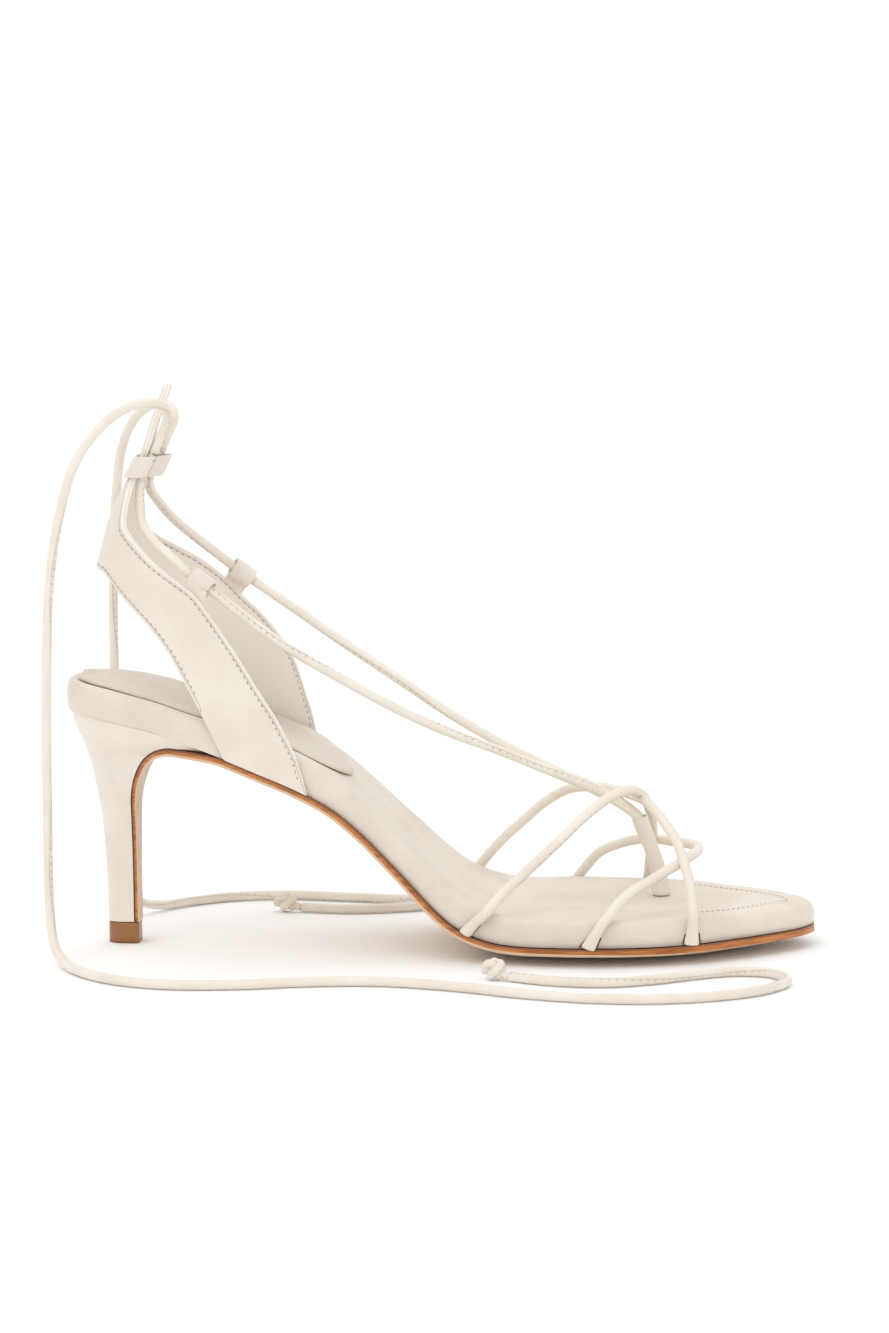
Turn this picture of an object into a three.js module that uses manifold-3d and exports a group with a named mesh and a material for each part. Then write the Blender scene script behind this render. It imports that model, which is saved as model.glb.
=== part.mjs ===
// Lace up heeled sandal, right foot, in millimetres: X runs from heel to toe, Y to the inner side of
// the foot, Z up from the floor. Each piece is worked out from the named sizes and short tables below.
import * as THREE from 'three';
import { mergeVertices } from 'three/addons/utils/BufferGeometryUtils.js';
import Module from 'manifold-3d';

// Driving sizes
const footLength = 238;
const ballWidth = 78.5;
const heelRise = 74.5;
const toeSpring = 4.3;
const outsoleThickness = 2.5;
const treadCrown = 3.7;
const bedDepth = 8.2;
const bedDish = 1;
const bedTuck = 0.6;
const soleLip = 0.7;
const clearance = 0.3;

// Heel, its covering wing under the seat and the leather flap down its breast
const topPieceHeight = 6.8;
const breastAlong = 20.8;
const bendLength = 14.5;
const bendHeight = 22;
const wingDepth = 3.8;
const wingFront = 52;
const flapThickness = 1.6;

// Heel band, keepers, cords and laces
const bandThickness = 2;
const bandHeight = 103;
const bandLean = 0.17;
const bandNose = 26;
const keeperWall = 0.8;
const keeperLength = 7.4;
const keeperRound = 1.2;
const keeperHeadroom = 0.3;
const backKeeperHeight = 7.5;
const backKeeperStart = 0.714;
const tabCorner = 0.205;
const backKeeperSlack = 0.36;
const keeperTail = 5;
const keeperSlack = 0.54;
const thinnestEdge = 0.8;
const cordRadius = 1.6;
const laceRadius = 1.5;
const laceSag = 6.3;
const laceTuck = 1.6;
const laceLead = 0.7;
const lacesApart = 1.07;
const strapHeight = 50;
const postHeight = 39.5;
const postRadius = 3.1;
const postTopRadius = 2.6;
const mouthWiden = 0.35;
const mouthTilt = 0.35;
const sockThickness = 0.9;
const sockInset = 3.6;
const sockFront = 91;
const cutMargin = 10;
const knotLength = 9;
const knotRadius = 3.6;

// How finely the curved pieces are cut into flat faces
const cordSides = 8;
const cordSteps = 36;
const laceSteps = 44;
const tieSteps = 80;

const leather = { color: 0xe9dfd4, roughness: 0.55, metalness: 0 };
const lining = { color: 0xddd1c1, roughness: 0.6, metalness: 0 };
const soleLeather = { color: 0xb8743f, roughness: 0.5, metalness: 0 };
const topPieceRubber = { color: 0x956741, roughness: 0.4, metalness: 0 };

// Plan outline of the sole: shares of foot length, then of ball width to the outer and inner side
const outlineRows = [
  { along: 0, outer: 0, inner: 0 },
  { along: 0.007, outer: 0.115, inner: 0.115 },
  { along: 0.027, outer: 0.214, inner: 0.214 },
  { along: 0.059, outer: 0.284, inner: 0.283 },
  { along: 0.105, outer: 0.331, inner: 0.325 },
  { along: 0.189, outer: 0.35, inner: 0.331 },
  { along: 0.294, outer: 0.334, inner: 0.29 },
  { along: 0.399, outer: 0.335, inner: 0.284 },
  { along: 0.483, outer: 0.373, inner: 0.348 },
  { along: 0.567, outer: 0.436, inner: 0.446 },
  { along: 0.651, outer: 0.478, inner: 0.51 },
  { along: 0.714, outer: 0.484, inner: 0.516 },
  { along: 0.777, outer: 0.459, inner: 0.493 },
  { along: 0.84, outer: 0.395, inner: 0.437 },
  { along: 0.895, outer: 0.306, inner: 0.361 },
  { along: 0.941, outer: 0.204, inner: 0.274 },
  { along: 0.975, outer: 0.106, inner: 0.185 },
  { along: 0.994, outer: 0.019, inner: 0.118 },
  { along: 1, outer: -0.048, inner: 0.048 },
];

// Side profile: the bed's underside as a share of heel rise and toe spring, its depth as a share of
// bed depth, and how much of the tread's crown and of the edge's tuck each place has
const profileRows = [
  { along: 0, rise: 1, spring: 0, depth: 1.15, crown: 0, tuck: 0 },
  { along: 0.059, rise: 0.974, spring: 0, depth: 1.17, crown: 0, tuck: 0 },
  { along: 0.118, rise: 0.94, spring: 0, depth: 1.12, crown: 0, tuck: 0 },
  { along: 0.168, rise: 0.887, spring: 0, depth: 1.14, crown: 0, tuck: 0 },
  { along: 0.218, rise: 0.826, spring: 0, depth: 1.24, crown: 0, tuck: 0.1 },
  { along: 0.269, rise: 0.756, spring: 0, depth: 1.36, crown: 0, tuck: 0.6 },
  { along: 0.319, rise: 0.686, spring: 0, depth: 1.41, crown: 0, tuck: 1 },
  { along: 0.361, rise: 0.612, spring: 0, depth: 1.35, crown: 0, tuck: 1 },
  { along: 0.399, rise: 0.515, spring: 0, depth: 1.29, crown: 0, tuck: 1 },
  { along: 0.437, rise: 0.396, spring: 0, depth: 1.29, crown: 0, tuck: 1 },
  { along: 0.471, rise: 0.281, spring: 0, depth: 1.34, crown: 0.08, tuck: 1 },
  { along: 0.5, rise: 0.174, spring: 0, depth: 1.37, crown: 0.3, tuck: 1 },
  { along: 0.529, rise: 0.086, spring: 0, depth: 1.3, crown: 0.62, tuck: 1 },
  { along: 0.559, rise: 0.034, spring: 0, depth: 1.18, crown: 0.85, tuck: 1 },
  { along: 0.592, rise: 0.007, spring: 0, depth: 1.08, crown: 0.97, tuck: 1 },
  { along: 0.626, rise: 0, spring: 0, depth: 1.02, crown: 1, tuck: 1 },
  { along: 0.782, rise: 0, spring: 0, depth: 1, crown: 1, tuck: 1 },
  { along: 0.84, rise: 0, spring: 0.09, depth: 1.02, crown: 0.95, tuck: 1 },
  { along: 0.891, rise: 0, spring: 0.35, depth: 0.95, crown: 0.75, tuck: 1 },
  { along: 0.941, rise: 0, spring: 0.65, depth: 0.95, crown: 0.45, tuck: 0.8 },
  { along: 1, rise: 0, spring: 1, depth: 0.9, crown: 0.05, tuck: 0.3 },
];

// The heel from its foot up: height as a share of heel rise, back edge as a share of foot length,
// half width as a share of the seat's, length of the round back as a share of foot length
const heelRows = [
  { height: 0.091, back: 0.0504, width: 0.15, round: 0.021 },
  { height: 0.27, back: 0.0492, width: 0.15, round: 0.021 },
  { height: 0.44, back: 0.0465, width: 0.18, round: 0.023 },
  { height: 0.57, back: 0.0428, width: 0.235, round: 0.027 },
  { height: 0.67, back: 0.0378, width: 0.33, round: 0.036 },
  { height: 0.75, back: 0.0336, width: 0.455, round: 0.05 },
  { height: 0.81, back: 0.0294, width: 0.59, round: 0.068 },
  { height: 0.854, back: 0.0252, width: 0.73, round: 0.092 },
  { height: 0.89, back: 0.021, width: 0.88, round: 0.118 },
  { height: 0.93, back: 0.0155, width: 0.965, round: 0.143 },
  { height: 0.98, back: 0.0092, width: 0.995, round: 0.155 },
  { height: 1.08, back: 0.002, width: 1, round: 0.16 },
];

// Back line of the heel band: height above the seat as a share of band height, and place as a
// share of foot length
const bandBackRows = [
  { height: -0.3, back: 0.0412 },
  { height: 0.408, back: 0.0412 },
  { height: 0.495, back: 0.0486 },
  { height: 0.573, back: 0.058 },
  { height: 0.641, back: 0.0695 },
  { height: 0.689, back: 0.0807 },
  { height: 0.738, back: 0.0937 },
  { height: 0.806, back: 0.1067 },
  { height: 0.874, back: 0.116 },
  { height: 0.932, back: 0.1252 },
  { height: 1, back: 0.1366 },
];

// Edges of the heel band: distance round from the back in quarter turns of its nose, and height
// above the seat as a share of band height
const lowerEdgeRows = [
  { around: 0, height: 0.435 },
  { around: 0.31, height: 0.43 },
  { around: 0.435, height: 0.411 },
  { around: 0.575, height: 0.369 },
  { around: 0.725, height: 0.319 },
  { around: 0.865, height: 0.266 },
  { around: 0.995, height: 0.2 },
  { around: 1.075, height: 0.147 },
  { around: 1.155, height: 0.09 },
  { around: 1.265, height: 0.01 },
  { around: 1.415, height: -0.116 },
  { around: 1.555, height: -0.26 },
  { around: 2.155, height: -0.9 },
];
const outerUpperRows = [
  { around: 0, height: 1 },
  { around: 0.15, height: 1 },
  { around: 0.17, height: 0.775 },
  { around: 0.185, height: 0.74 },
  { around: 0.195, height: 0.715 },
  { around: 0.22, height: 0.7 },
  { around: 0.26, height: 0.686 },
  { around: 0.3, height: 0.668 },
  { around: 0.34, height: 0.645 },
  { around: 0.375, height: 0.618 },
  { around: 0.41, height: 0.593 },
  { around: 0.455, height: 0.57 },
  { around: 0.555, height: 0.544 },
  { around: 0.685, height: 0.511 },
  { around: 0.83, height: 0.472 },
  { around: 0.955, height: 0.441 },
  { around: 1.095, height: 0.403 },
  { around: 1.19, height: 0.374 },
  { around: 1.255, height: 0.342 },
  { around: 1.385, height: 0.271 },
  { around: 1.525, height: 0.189 },
  { around: 1.675, height: 0.092 },
  { around: 1.825, height: 0 },
  { around: 1.895, height: -0.052 },
  { around: 1.975, height: -0.116 },
  { around: 2.055, height: -0.225 },
];
const innerUpperRows = [
  { around: 0, height: 1 },
  { around: 0.15, height: 1 },
  { around: 0.17, height: 0.775 },
  { around: 0.185, height: 0.74 },
  { around: 0.195, height: 0.715 },
  { around: 0.23, height: 0.698 },
  { around: 0.28, height: 0.68 },
  { around: 0.33, height: 0.659 },
  { around: 0.38, height: 0.635 },
  { around: 0.41, height: 0.612 },
  { around: 0.57, height: 0.552 },
  { around: 0.7, height: 0.518 },
  { around: 0.92, height: 0.476 },
  { around: 1.1, height: 0.441 },
  { around: 1.31, height: 0.378 },
  { around: 1.465, height: 0.315 },
  { around: 1.615, height: 0.26 },
  { around: 1.765, height: 0.183 },
  { around: 1.865, height: 0.11 },
  { around: 1.935, height: 0.017 },
  { around: 1.995, height: -0.07 },
  { around: 2.055, height: -0.225 },
];
const bandColumns = [
  0, 0.08, 0.15, 0.17, 0.195, 0.24, 0.3, 0.36, 0.42, 0.5, 0.6, 0.7, 0.8, 0.9, 1, 1.1, 1.2, 1.3,
  1.4, 1.5, 1.6, 1.7, 1.78, 1.84, 1.9, 1.96, 2.01, 2.055,
];
const bandRowCount = 9;

// The three vamp cords between their feet on the sole: shares of foot length, ball width, strap height
const rearCordRows = [
  { along: 0.587, across: -0.414, height: 0.43 },
  { along: 0.626, across: -0.344, height: 0.594 },
  { along: 0.664, across: -0.255, height: 0.748 },
  { along: 0.702, across: -0.153, height: 0.899 },
  { along: 0.731, across: -0.07, height: 0.98 },
  { along: 0.757, across: 0.013, height: 0.994 },
  { along: 0.771, across: 0.076, height: 0.942 },
  { along: 0.778, across: 0.14, height: 0.853 },
  { along: 0.782, across: 0.217, height: 0.748 },
  { along: 0.782, across: 0.306, height: 0.624 },
  { along: 0.779, across: 0.395, height: 0.5 },
];
const crossCordRows = [
  { along: 0.838, across: -0.382, height: 0.409 },
  { along: 0.834, across: -0.338, height: 0.522 },
  { along: 0.827, across: -0.268, height: 0.616 },
  { along: 0.818, across: -0.197, height: 0.716 },
  { along: 0.801, across: -0.115, height: 0.821 },
  { along: 0.788, across: -0.038, height: 0.876 },
  { along: 0.774, across: 0.038, height: 0.92 },
  { along: 0.756, across: 0.096, height: 0.943 },
  { along: 0.728, across: 0.166, height: 0.963 },
  { along: 0.698, across: 0.242, height: 0.957 },
  { along: 0.667, across: 0.318, height: 0.92 },
  { along: 0.634, across: 0.382, height: 0.817 },
  { along: 0.606, across: 0.42, height: 0.693 },
  { along: 0.578, across: 0.433, height: 0.57 },
];
const toeCordRows = [
  { along: 0.729, across: -0.487, height: 0.324 },
  { along: 0.738, across: -0.461, height: 0.379 },
  { along: 0.749, across: -0.436, height: 0.429 },
  { along: 0.762, across: -0.403, height: 0.472 },
  { along: 0.78, across: -0.361, height: 0.512 },
  { along: 0.802, across: -0.303, height: 0.561 },
  { along: 0.823, across: -0.236, height: 0.603 },
  { along: 0.837, across: -0.127, height: 0.62 },
  { along: 0.845, across: 0, height: 0.615 },
  { along: 0.843, across: 0.115, height: 0.608 },
  { along: 0.83, across: 0.217, height: 0.595 },
  { along: 0.808, across: 0.299, height: 0.587 },
  { along: 0.785, across: 0.357, height: 0.585 },
  { along: 0.76, across: 0.408, height: 0.567 },
  { along: 0.733, across: 0.452, height: 0.522 },
  { along: 0.708, across: 0.484, height: 0.459 },
];

// Where each cord's feet stand on the sole's edge, low and at the bed's rim: shares of foot length
const rearCordFeet = { outerLow: 0.541, outerRim: 0.57, innerLow: 0.77, innerRim: 0.774 };
const crossCordFeet = { outerLow: 0.838, outerRim: 0.84, innerLow: 0.528, innerRim: 0.546 };
const toeCordFeet = { outerLow: 0.703, outerRim: 0.723, innerLow: 0.655, innerRim: 0.68 };

// The toe post's centre line: shares of foot length, ball width and post height, and its swell
const postRows = [
  { along: 0.7945, across: 0.15, height: 0.374, swell: 1 },
  { along: 0.7935, across: 0.148, height: 0.45, swell: 0.93 },
  { along: 0.789, across: 0.141, height: 0.6, swell: 0.89 },
  { along: 0.781, across: 0.129, height: 0.75, swell: 0.89 },
  { along: 0.773, across: 0.117, height: 0.88, swell: 0.95 },
  { along: 0.766, across: 0.109, height: 1, swell: 1 },
];

// The lace's two runs from the post to the side keepers: share of the reach, share of ball width
// across, and rise above the straight line as a share of the sag
const outerRunRows = [
  { reach: 0.034, across: 0.079, rise: 0.17 },
  { reach: 0.064, across: 0.064, rise: 0.21 },
  { reach: 0.115, across: 0.046, rise: 0.2 },
  { reach: 0.165, across: 0.033, rise: 0.06 },
  { reach: 0.23, across: 0.014, rise: -0.13 },
  { reach: 0.322, across: -0.015, rise: -0.4 },
  { reach: 0.436, across: -0.064, rise: -0.81 },
  { reach: 0.55, across: -0.115, rise: -1 },
  { reach: 0.663, across: -0.157, rise: -0.98 },
  { reach: 0.799, across: -0.197, rise: -0.86 },
  { reach: 0.874, across: -0.213, rise: -0.6 },
];
const innerRunRows = [
  { reach: 0.037, across: 0.122, rise: 0.16 },
  { reach: 0.07, across: 0.113, rise: 0.17 },
  { reach: 0.124, across: 0.11, rise: 0.1 },
  { reach: 0.178, across: 0.112, rise: -0.14 },
  { reach: 0.25, across: 0.125, rise: -0.36 },
  { reach: 0.35, across: 0.146, rise: -0.6 },
  { reach: 0.477, across: 0.172, rise: -0.71 },
  { reach: 0.603, across: 0.191, rise: -0.59 },
  { reach: 0.729, across: 0.208, rise: -0.46 },
  { reach: 0.855, across: 0.217, rise: -0.25 },
];

// The same laces inside the heel band, from each side keeper up through the back keeper: shares of
// foot length, ball width, and band height above the seat. A side keeper's middle stands inside the
// band's outer face by its inset, a share of the band's thickness
const outerKeeperAt = { along: 0.1912, height: 0.404, inset: 2.65 };
const innerKeeperAt = { along: 0.229, height: 0.396, inset: 1.45 };
const outerRearRows = [
  { along: 0.175, across: -0.225, height: 0.433 },
  { along: 0.147, across: -0.21, height: 0.49 },
  { along: 0.124, across: -0.159, height: 0.532 },
  { along: 0.108, across: -0.104, height: 0.583 },
  { along: 0.1042, across: -0.062, height: 0.629 },
  { along: 0.1029, across: -0.036, height: 0.667 },
  { along: 0.107, across: -0.031, height: 0.71 },
  { along: 0.122, across: -0.031, height: 0.782 },
];
const innerRearRows = [
  { along: 0.212, across: 0.219, height: 0.425 },
  { along: 0.187, across: 0.206, height: 0.472 },
  { along: 0.163, across: 0.176, height: 0.52 },
  { along: 0.139, across: 0.131, height: 0.575 },
  { along: 0.1235, across: 0.083, height: 0.627 },
  { along: 0.1136, across: 0.045, height: 0.672 },
  { along: 0.1128, across: 0.033, height: 0.707 },
  { along: 0.1274, across: 0.033, height: 0.78 },
];

// The free ties, laid down uncoiled: over from the back keeper, down to the floor and along it
const outerTieRoute = [
  [31.7, -2.7, 163.4], [33.8, -4.9, 168.6], [33.8, -9.2, 172.6], [29.4, -14.4, 174.6],
  [22, -18.6, 172.8], [14, -21.6, 166.4], [7, -23.6, 156], [2, -24.6, 140], [-1.4, -25, 118],
  [-2.8, -25.2, 90], [-3.2, -25.6, 60], [-3.2, -26.4, 34], [-2.6, -29, 16.4], [-0.4, -35.4, 6],
  [4.4, -45, 2.3], [11, -56, 1.7], [24, -68, 1.7], [42, -74, 1.7], [62, -73, 1.7],
  [84, -68, 1.7], [106, -67, 1.7], [128, -73, 1.7], [148, -82, 1.7], [168, -88, 1.7],
  [188, -89, 1.7], [207, -84, 1.7], [222, -74, 1.7], [229, -61, 1.7], [224, -50, 1.7],
  [213, -48, 1.7], [201, -53, 1.7], [188, -61, 1.7], [173, -66, 1.7], [157, -64, 1.7],
  [144, -58, 1.7],
];
const innerTieRoute = [
  [32.8, 3.2, 163], [34.6, 6.2, 167.6], [33, 11.6, 171.2], [27, 18, 171.6], [20, 23.6, 167],
  [15, 27.2, 157.6], [12.4, 29, 142], [11, 29.6, 118], [10.6, 30, 90], [10.6, 30.6, 60],
  [10.8, 31.4, 34], [12, 34, 16], [15.4, 40, 5.8], [21.6, 48.6, 2.3], [31, 58.6, 1.7],
  [45, 67.4, 1.7], [63, 70.6, 1.7], [82, 68, 1.7], [100, 65, 1.7], [118, 67, 1.7],
  [135, 74, 1.7], [152, 82, 1.7], [170, 87, 1.7], [188, 87, 1.7], [202, 80, 1.7],
  [208, 68.5, 1.7], [204, 57, 1.7], [193, 51.5, 1.7], [178, 51.5, 1.7], [163, 55, 1.7],
  [148, 59, 1.7], [132, 60, 1.7], [116, 56, 1.7], [101, 50, 1.7], [85, 47, 1.7],
  [69, 49.5, 1.7],
];

// A smooth reading of a table's column at a place, with no overshoot between its rows
function read(rows, key, column, place) {
  const last = rows.length - 1;
  if (place <= rows[0][key]) return rows[0][column];
  if (place >= rows[last][key]) return rows[last][column];
  let i = 0;
  while (rows[i + 1][key] < place) i += 1;
  const slope = (k) => (rows[k + 1][column] - rows[k][column]) / (rows[k + 1][key] - rows[k][key]);
  const tangent = (k) => {
    if (k === 0) return slope(0);
    if (k === last) return slope(last - 1);
    const before = slope(k - 1);
    const after = slope(k);
    return before * after > 0 ? (2 * before * after) / (before + after) : 0;
  };
  const span = rows[i + 1][key] - rows[i][key];
  const t = (place - rows[i][key]) / span;
  const a = rows[i][column];
  const b = rows[i + 1][column];
  const rise = (1 - t) * (1 - t);
  return a * (1 + 2 * t) * rise + b * t * t * (3 - 2 * t)
    + tangent(i) * span * t * rise + tangent(i + 1) * span * t * t * (t - 1);
}

// One point of the outline by row number, round at heel and toe because its rows mirror there
function outlineAt(number) {
  const last = outlineRows.length - 1;
  const mirrored = (i) => {
    if (i < 0) {
      const near = outlineRows[1];
      return { along: near.along, outer: -near.inner, inner: -near.outer };
    }
    if (i > last) {
      const near = outlineRows[last - 1];
      return { along: near.along, outer: -near.inner, inner: -near.outer };
    }
    return outlineRows[i];
  };
  const i = Math.min(Math.floor(number), last - 1);
  const t = number - i;
  const blend = (column) => {
    const [a, b, c, d] = [i - 1, i, i + 1, i + 2].map((k) => mirrored(k)[column]);
    return b + 0.5 * t * (c - a + t * (2 * a - 5 * b + 4 * c - d + t * (3 * (b - c) + d - a)));
  };
  return {
    along: blend('along') * footLength,
    outer: blend('outer') * ballWidth,
    inner: blend('inner') * ballWidth,
  };
}

const outlineSamples = [];
const samplesPerRow = 16;
for (let k = 0; k <= (outlineRows.length - 1) * samplesPerRow; k += 1) {
  outlineSamples.push(outlineAt(k / samplesPerRow));
}

// Half width of the sole on one side (-1 outer, +1 inner) at a distance from the heel's back
function halfWidth(side, along) {
  const column = side < 0 ? 'outer' : 'inner';
  const place = Math.min(Math.max(along, 0), footLength);
  let i = 1;
  while (i < outlineSamples.length - 1 && outlineSamples[i].along < place) i += 1;
  const a = outlineSamples[i - 1];
  const b = outlineSamples[i];
  const t = b.along === a.along ? 0 : (place - a.along) / (b.along - a.along);
  return a[column] + (b[column] - a[column]) * t;
}

const profile = (column, along) => read(profileRows, 'along', column, along / footLength);

// Height of the bed's underside on its middle line, and how far the crown lifts it towards the edge
const bedUnderside = (along) => outsoleThickness + clearance + profile('rise', along) * heelRise
  + profile('spring', along) * toeSpring;
const flatShare = 0.35;
const crownPower = 1.8;
function crownLift(along, share) {
  const beyond = Math.max(0, Math.abs(share) - flatShare) / (1 - flatShare);
  return treadCrown * profile('crown', along) * beyond ** crownPower;
}
const bedEdge = (along) => bedUnderside(along) + crownLift(along, 1);
const bedRim = (along) => bedEdge(along) + profile('depth', along) * bedDepth;
const bedTop = (along, share) => bedRim(along) - bedDish * (1 - share * share);
const seatPlace = 0.189 * footLength;
const seatHeight = bedRim(seatPlace);

// Closed solid from vertices and triangles, with shared vertices joined and faces pointing out
function solidGeometry(points, triangles) {
  const flat = new Float32Array(points.length * 3);
  points.forEach((point, i) => point.toArray(flat, i * 3));
  let geometry = new THREE.BufferGeometry();
  geometry.setAttribute('position', new THREE.BufferAttribute(flat, 3));
  geometry.setIndex(triangles.flat());
  geometry = mergeVertices(geometry, 1e-4);
  const place = geometry.getAttribute('position');
  const kept = [];
  const index = geometry.getIndex().array;
  let volume = 0;
  const corner = (k) => new THREE.Vector3().fromBufferAttribute(place, k);
  for (let i = 0; i < index.length; i += 3) {
    const [a, b, c] = [index[i], index[i + 1], index[i + 2]];
    if (a !== b && b !== c && c !== a) {
      kept.push([a, b, c]);
      volume += corner(a).dot(corner(b).cross(corner(c)));
    }
  }
  geometry.setIndex(kept.map(([a, b, c]) => (volume < 0 ? [a, c, b] : [a, b, c])).flat());
  return geometry;
}

// Skin through closed rings of equally many points; the ends are closed by fans unless told not to
function loft(rings, capped = true) {
  const count = rings[0].length;
  const points = rings.flat();
  const triangles = [];
  for (let r = 0; r < rings.length - 1; r += 1) {
    for (let i = 0; i < count; i += 1) {
      const j = (i + 1) % count;
      const [a, b, c, d] = [r * count + i, r * count + j, (r + 1) * count + j, (r + 1) * count + i];
      triangles.push([a, b, c], [a, c, d]);
    }
  }
  if (capped) {
    [0, rings.length - 1].forEach((r) => {
      const middle = new THREE.Vector3();
      rings[r].forEach((point) => middle.addScaledVector(point, 1 / count));
      points.push(middle);
      for (let i = 0; i < count; i += 1) {
        const [a, b] = [r * count + i, r * count + ((i + 1) % count)];
        triangles.push(r === 0 ? [points.length - 1, b, a] : [points.length - 1, a, b]);
      }
    });
  }
  return solidGeometry(points, triangles);
}

// Solid wall between an outer and an inner grid of points
function wall(outer, inner) {
  const rings = outer.map((row, r) => [...row, ...inner[r].slice().reverse()]);
  return loft(rings);
}

const wasm = await Module();
wasm.setup();

function toSolid(source) {
  let geometry = source.clone();
  geometry.deleteAttribute('normal');
  geometry.deleteAttribute('uv');
  geometry = mergeVertices(geometry, 1e-4);
  return new wasm.Manifold(new wasm.Mesh({
    numProp: 3,
    vertProperties: new Float32Array(geometry.getAttribute('position').array),
    triVerts: new Uint32Array(geometry.getIndex().array),
  }));
}

function toGeometry(solid) {
  const mesh = solid.getMesh();
  const geometry = new THREE.BufferGeometry();
  geometry.setAttribute('position', new THREE.BufferAttribute(mesh.vertProperties, 3));
  geometry.setIndex(new THREE.BufferAttribute(mesh.triVerts, 1));
  return geometry;
}

const vector = (x, y, z) => new THREE.Vector3(x, y, z);

// Round cord of one radius along a smooth curve
function cord(points, radius, steps) {
  const section = new THREE.Shape();
  for (let i = 0; i < cordSides; i += 1) {
    const turn = (i / cordSides) * 2 * Math.PI;
    const [x, y] = [radius * Math.cos(turn), radius * Math.sin(turn)];
    if (i === 0) section.moveTo(x, y);
    else section.lineTo(x, y);
  }
  section.closePath();
  const extrudePath = new THREE.CatmullRomCurve3(points, false, 'centripetal');
  return new THREE.ExtrudeGeometry(section, { steps, extrudePath, curveSegments: 1 });
}

// Share of the way from the bed's middle line out to its rim, which closes round at the heel
const spineEnd = 9;
const rimInset = 2.4;
const bedShare = (along, share) => Math.min(1, Math.hypot(share,
  Math.max(0, spineEnd - along) / (spineEnd - rimInset)));

// The padded bed under the foot: rings round the outline from the underside's middle line, out over
// the edge, up the side, over the rounded rim and in to the top's middle line
function footbed() {
  const stations = [];
  const steps = 3;
  for (let k = 0; k <= (outlineRows.length - 1) * steps; k += 1) stations.push(outlineAt(k / steps));
  const last = stations.length - 1;
  const loop = [];
  stations.forEach((s) => loop.push({ s, x: s.along, y: -s.outer }));
  for (let k = last - 1; k > 0; k -= 1) {
    loop.push({ s: stations[k], x: stations[k].along, y: stations[k].inner });
  }
  const count = loop.length;
  loop.forEach((p, i) => {
    const before = loop[(i + count - 1) % count];
    const after = loop[(i + 1) % count];
    const tangent = new THREE.Vector2(after.x - before.x, after.y - before.y).normalize();
    p.inward = new THREE.Vector2(-tangent.y, tangent.x);
  });
  const ring = (inset, share, height) => loop.map((p) => {
    const tuck = inset(p.x);
    const edge = vector(p.x + p.inward.x * tuck, p.y + p.inward.y * tuck, 0);
    const spineX = Math.min(Math.max(p.x, spineEnd), footLength - spineEnd);
    const spineY = (halfWidth(1, spineX) - halfWidth(-1, spineX)) / 2;
    const point = vector(spineX, spineY, 0).lerp(edge, share);
    point.z = height(point.x);
    return point;
  });
  const under = (share) => ring((x) => bedTuck * profile('tuck', x) + 0.1, share,
    (x) => bedUnderside(x) + crownLift(x, share));
  const side = (tuckShare, drawIn, height) => ring(
    (x) => bedTuck * tuckShare * profile('tuck', x) + drawIn, 1,
    (x) => bedEdge(x) + height * profile('depth', x) * bedDepth);
  const over = (share) => ring(() => rimInset, share, (x) => bedTop(x, share));
  return loft([
    under(0), under(flatShare), under(0.7), under(1),
    side(0.3, 0, 0.2), side(0, 0, 0.45), side(0, 0.25, 0.72), side(0, 1, 0.91),
    over(1), over(0.8), over(0.4), over(0),
  ], false);
}

const breastBendStart = breastAlong + bendLength;

// The outsole's upper face on its middle line, dropped under the heel's wing
function outsoleTop(along) {
  const underWing = Math.max(0, wingFront - along) / (wingFront - breastBendStart);
  return bedUnderside(along) - clearance - wingDepth * Math.min(1, underWing);
}

const heelColumn = (column, height) => read(heelRows, 'height', column, height / heelRise);
const seatHalf = (side) => halfWidth(side, seatPlace);

// The path of the outsole's upper face from the toe's tip to the foot of the flap, with its
// half widths to both sides
function outsolePath() {
  const path = [];
  const steps = 3;
  const tipShare = 0.25;
  const last = (outlineRows.length - 1) * steps;
  for (let k = last - tipShare; k > 0; k = Math.ceil(k - 1)) {
    const s = outlineAt(k / steps);
    if (s.along < wingFront) break;
    path.push({ x: s.along, z: outsoleTop(s.along), outer: s.outer + soleLip,
      inner: s.inner + soleLip, thickness: outsoleThickness });
  }
  const waistSteps = 4;
  for (let k = 0; k < waistSteps; k += 1) {
    const x = wingFront - ((wingFront - breastBendStart) * k) / waistSteps;
    path.push({ x, z: outsoleTop(x), outer: halfWidth(-1, x) - wingTaper(x),
      inner: halfWidth(1, x) - wingTaper(x), thickness: outsoleThickness });
  }
  const bendTop = outsoleTop(breastBendStart);
  const bendSteps = 9;
  for (let k = 0; k <= bendSteps; k += 1) {
    const turn = (k / bendSteps) * (Math.PI / 2);
    const x = breastBendStart - bendLength * Math.sin(turn);
    const z = bendTop - bendHeight * (1 - Math.cos(turn));
    path.push(flapStation(x, z, k / bendSteps));
  }
  const flapFoot = topPieceHeight + clearance;
  const straightSteps = 4;
  const top = bendTop - bendHeight;
  for (let k = 1; k <= straightSteps; k += 1) {
    path.push(flapStation(breastAlong, top + ((flapFoot - top) * k) / straightSteps, 1));
  }
  return path;
}

// How far the outsole's edge draws in under the heel's wing
function wingTaper(x) {
  const share = Math.min(1, Math.max(0, (wingFront - x) / (wingFront - breastBendStart)));
  return -soleLip + share * (soleLip + seatHalf(-1) * (1 - heelColumn('width', outsoleTop(x))));
}

function flapStation(x, z, share) {
  const width = heelColumn('width', z);
  return { x, z, outer: seatHalf(-1) * width, inner: seatHalf(1) * width,
    thickness: outsoleThickness + (flapThickness - outsoleThickness) * share };
}

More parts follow.
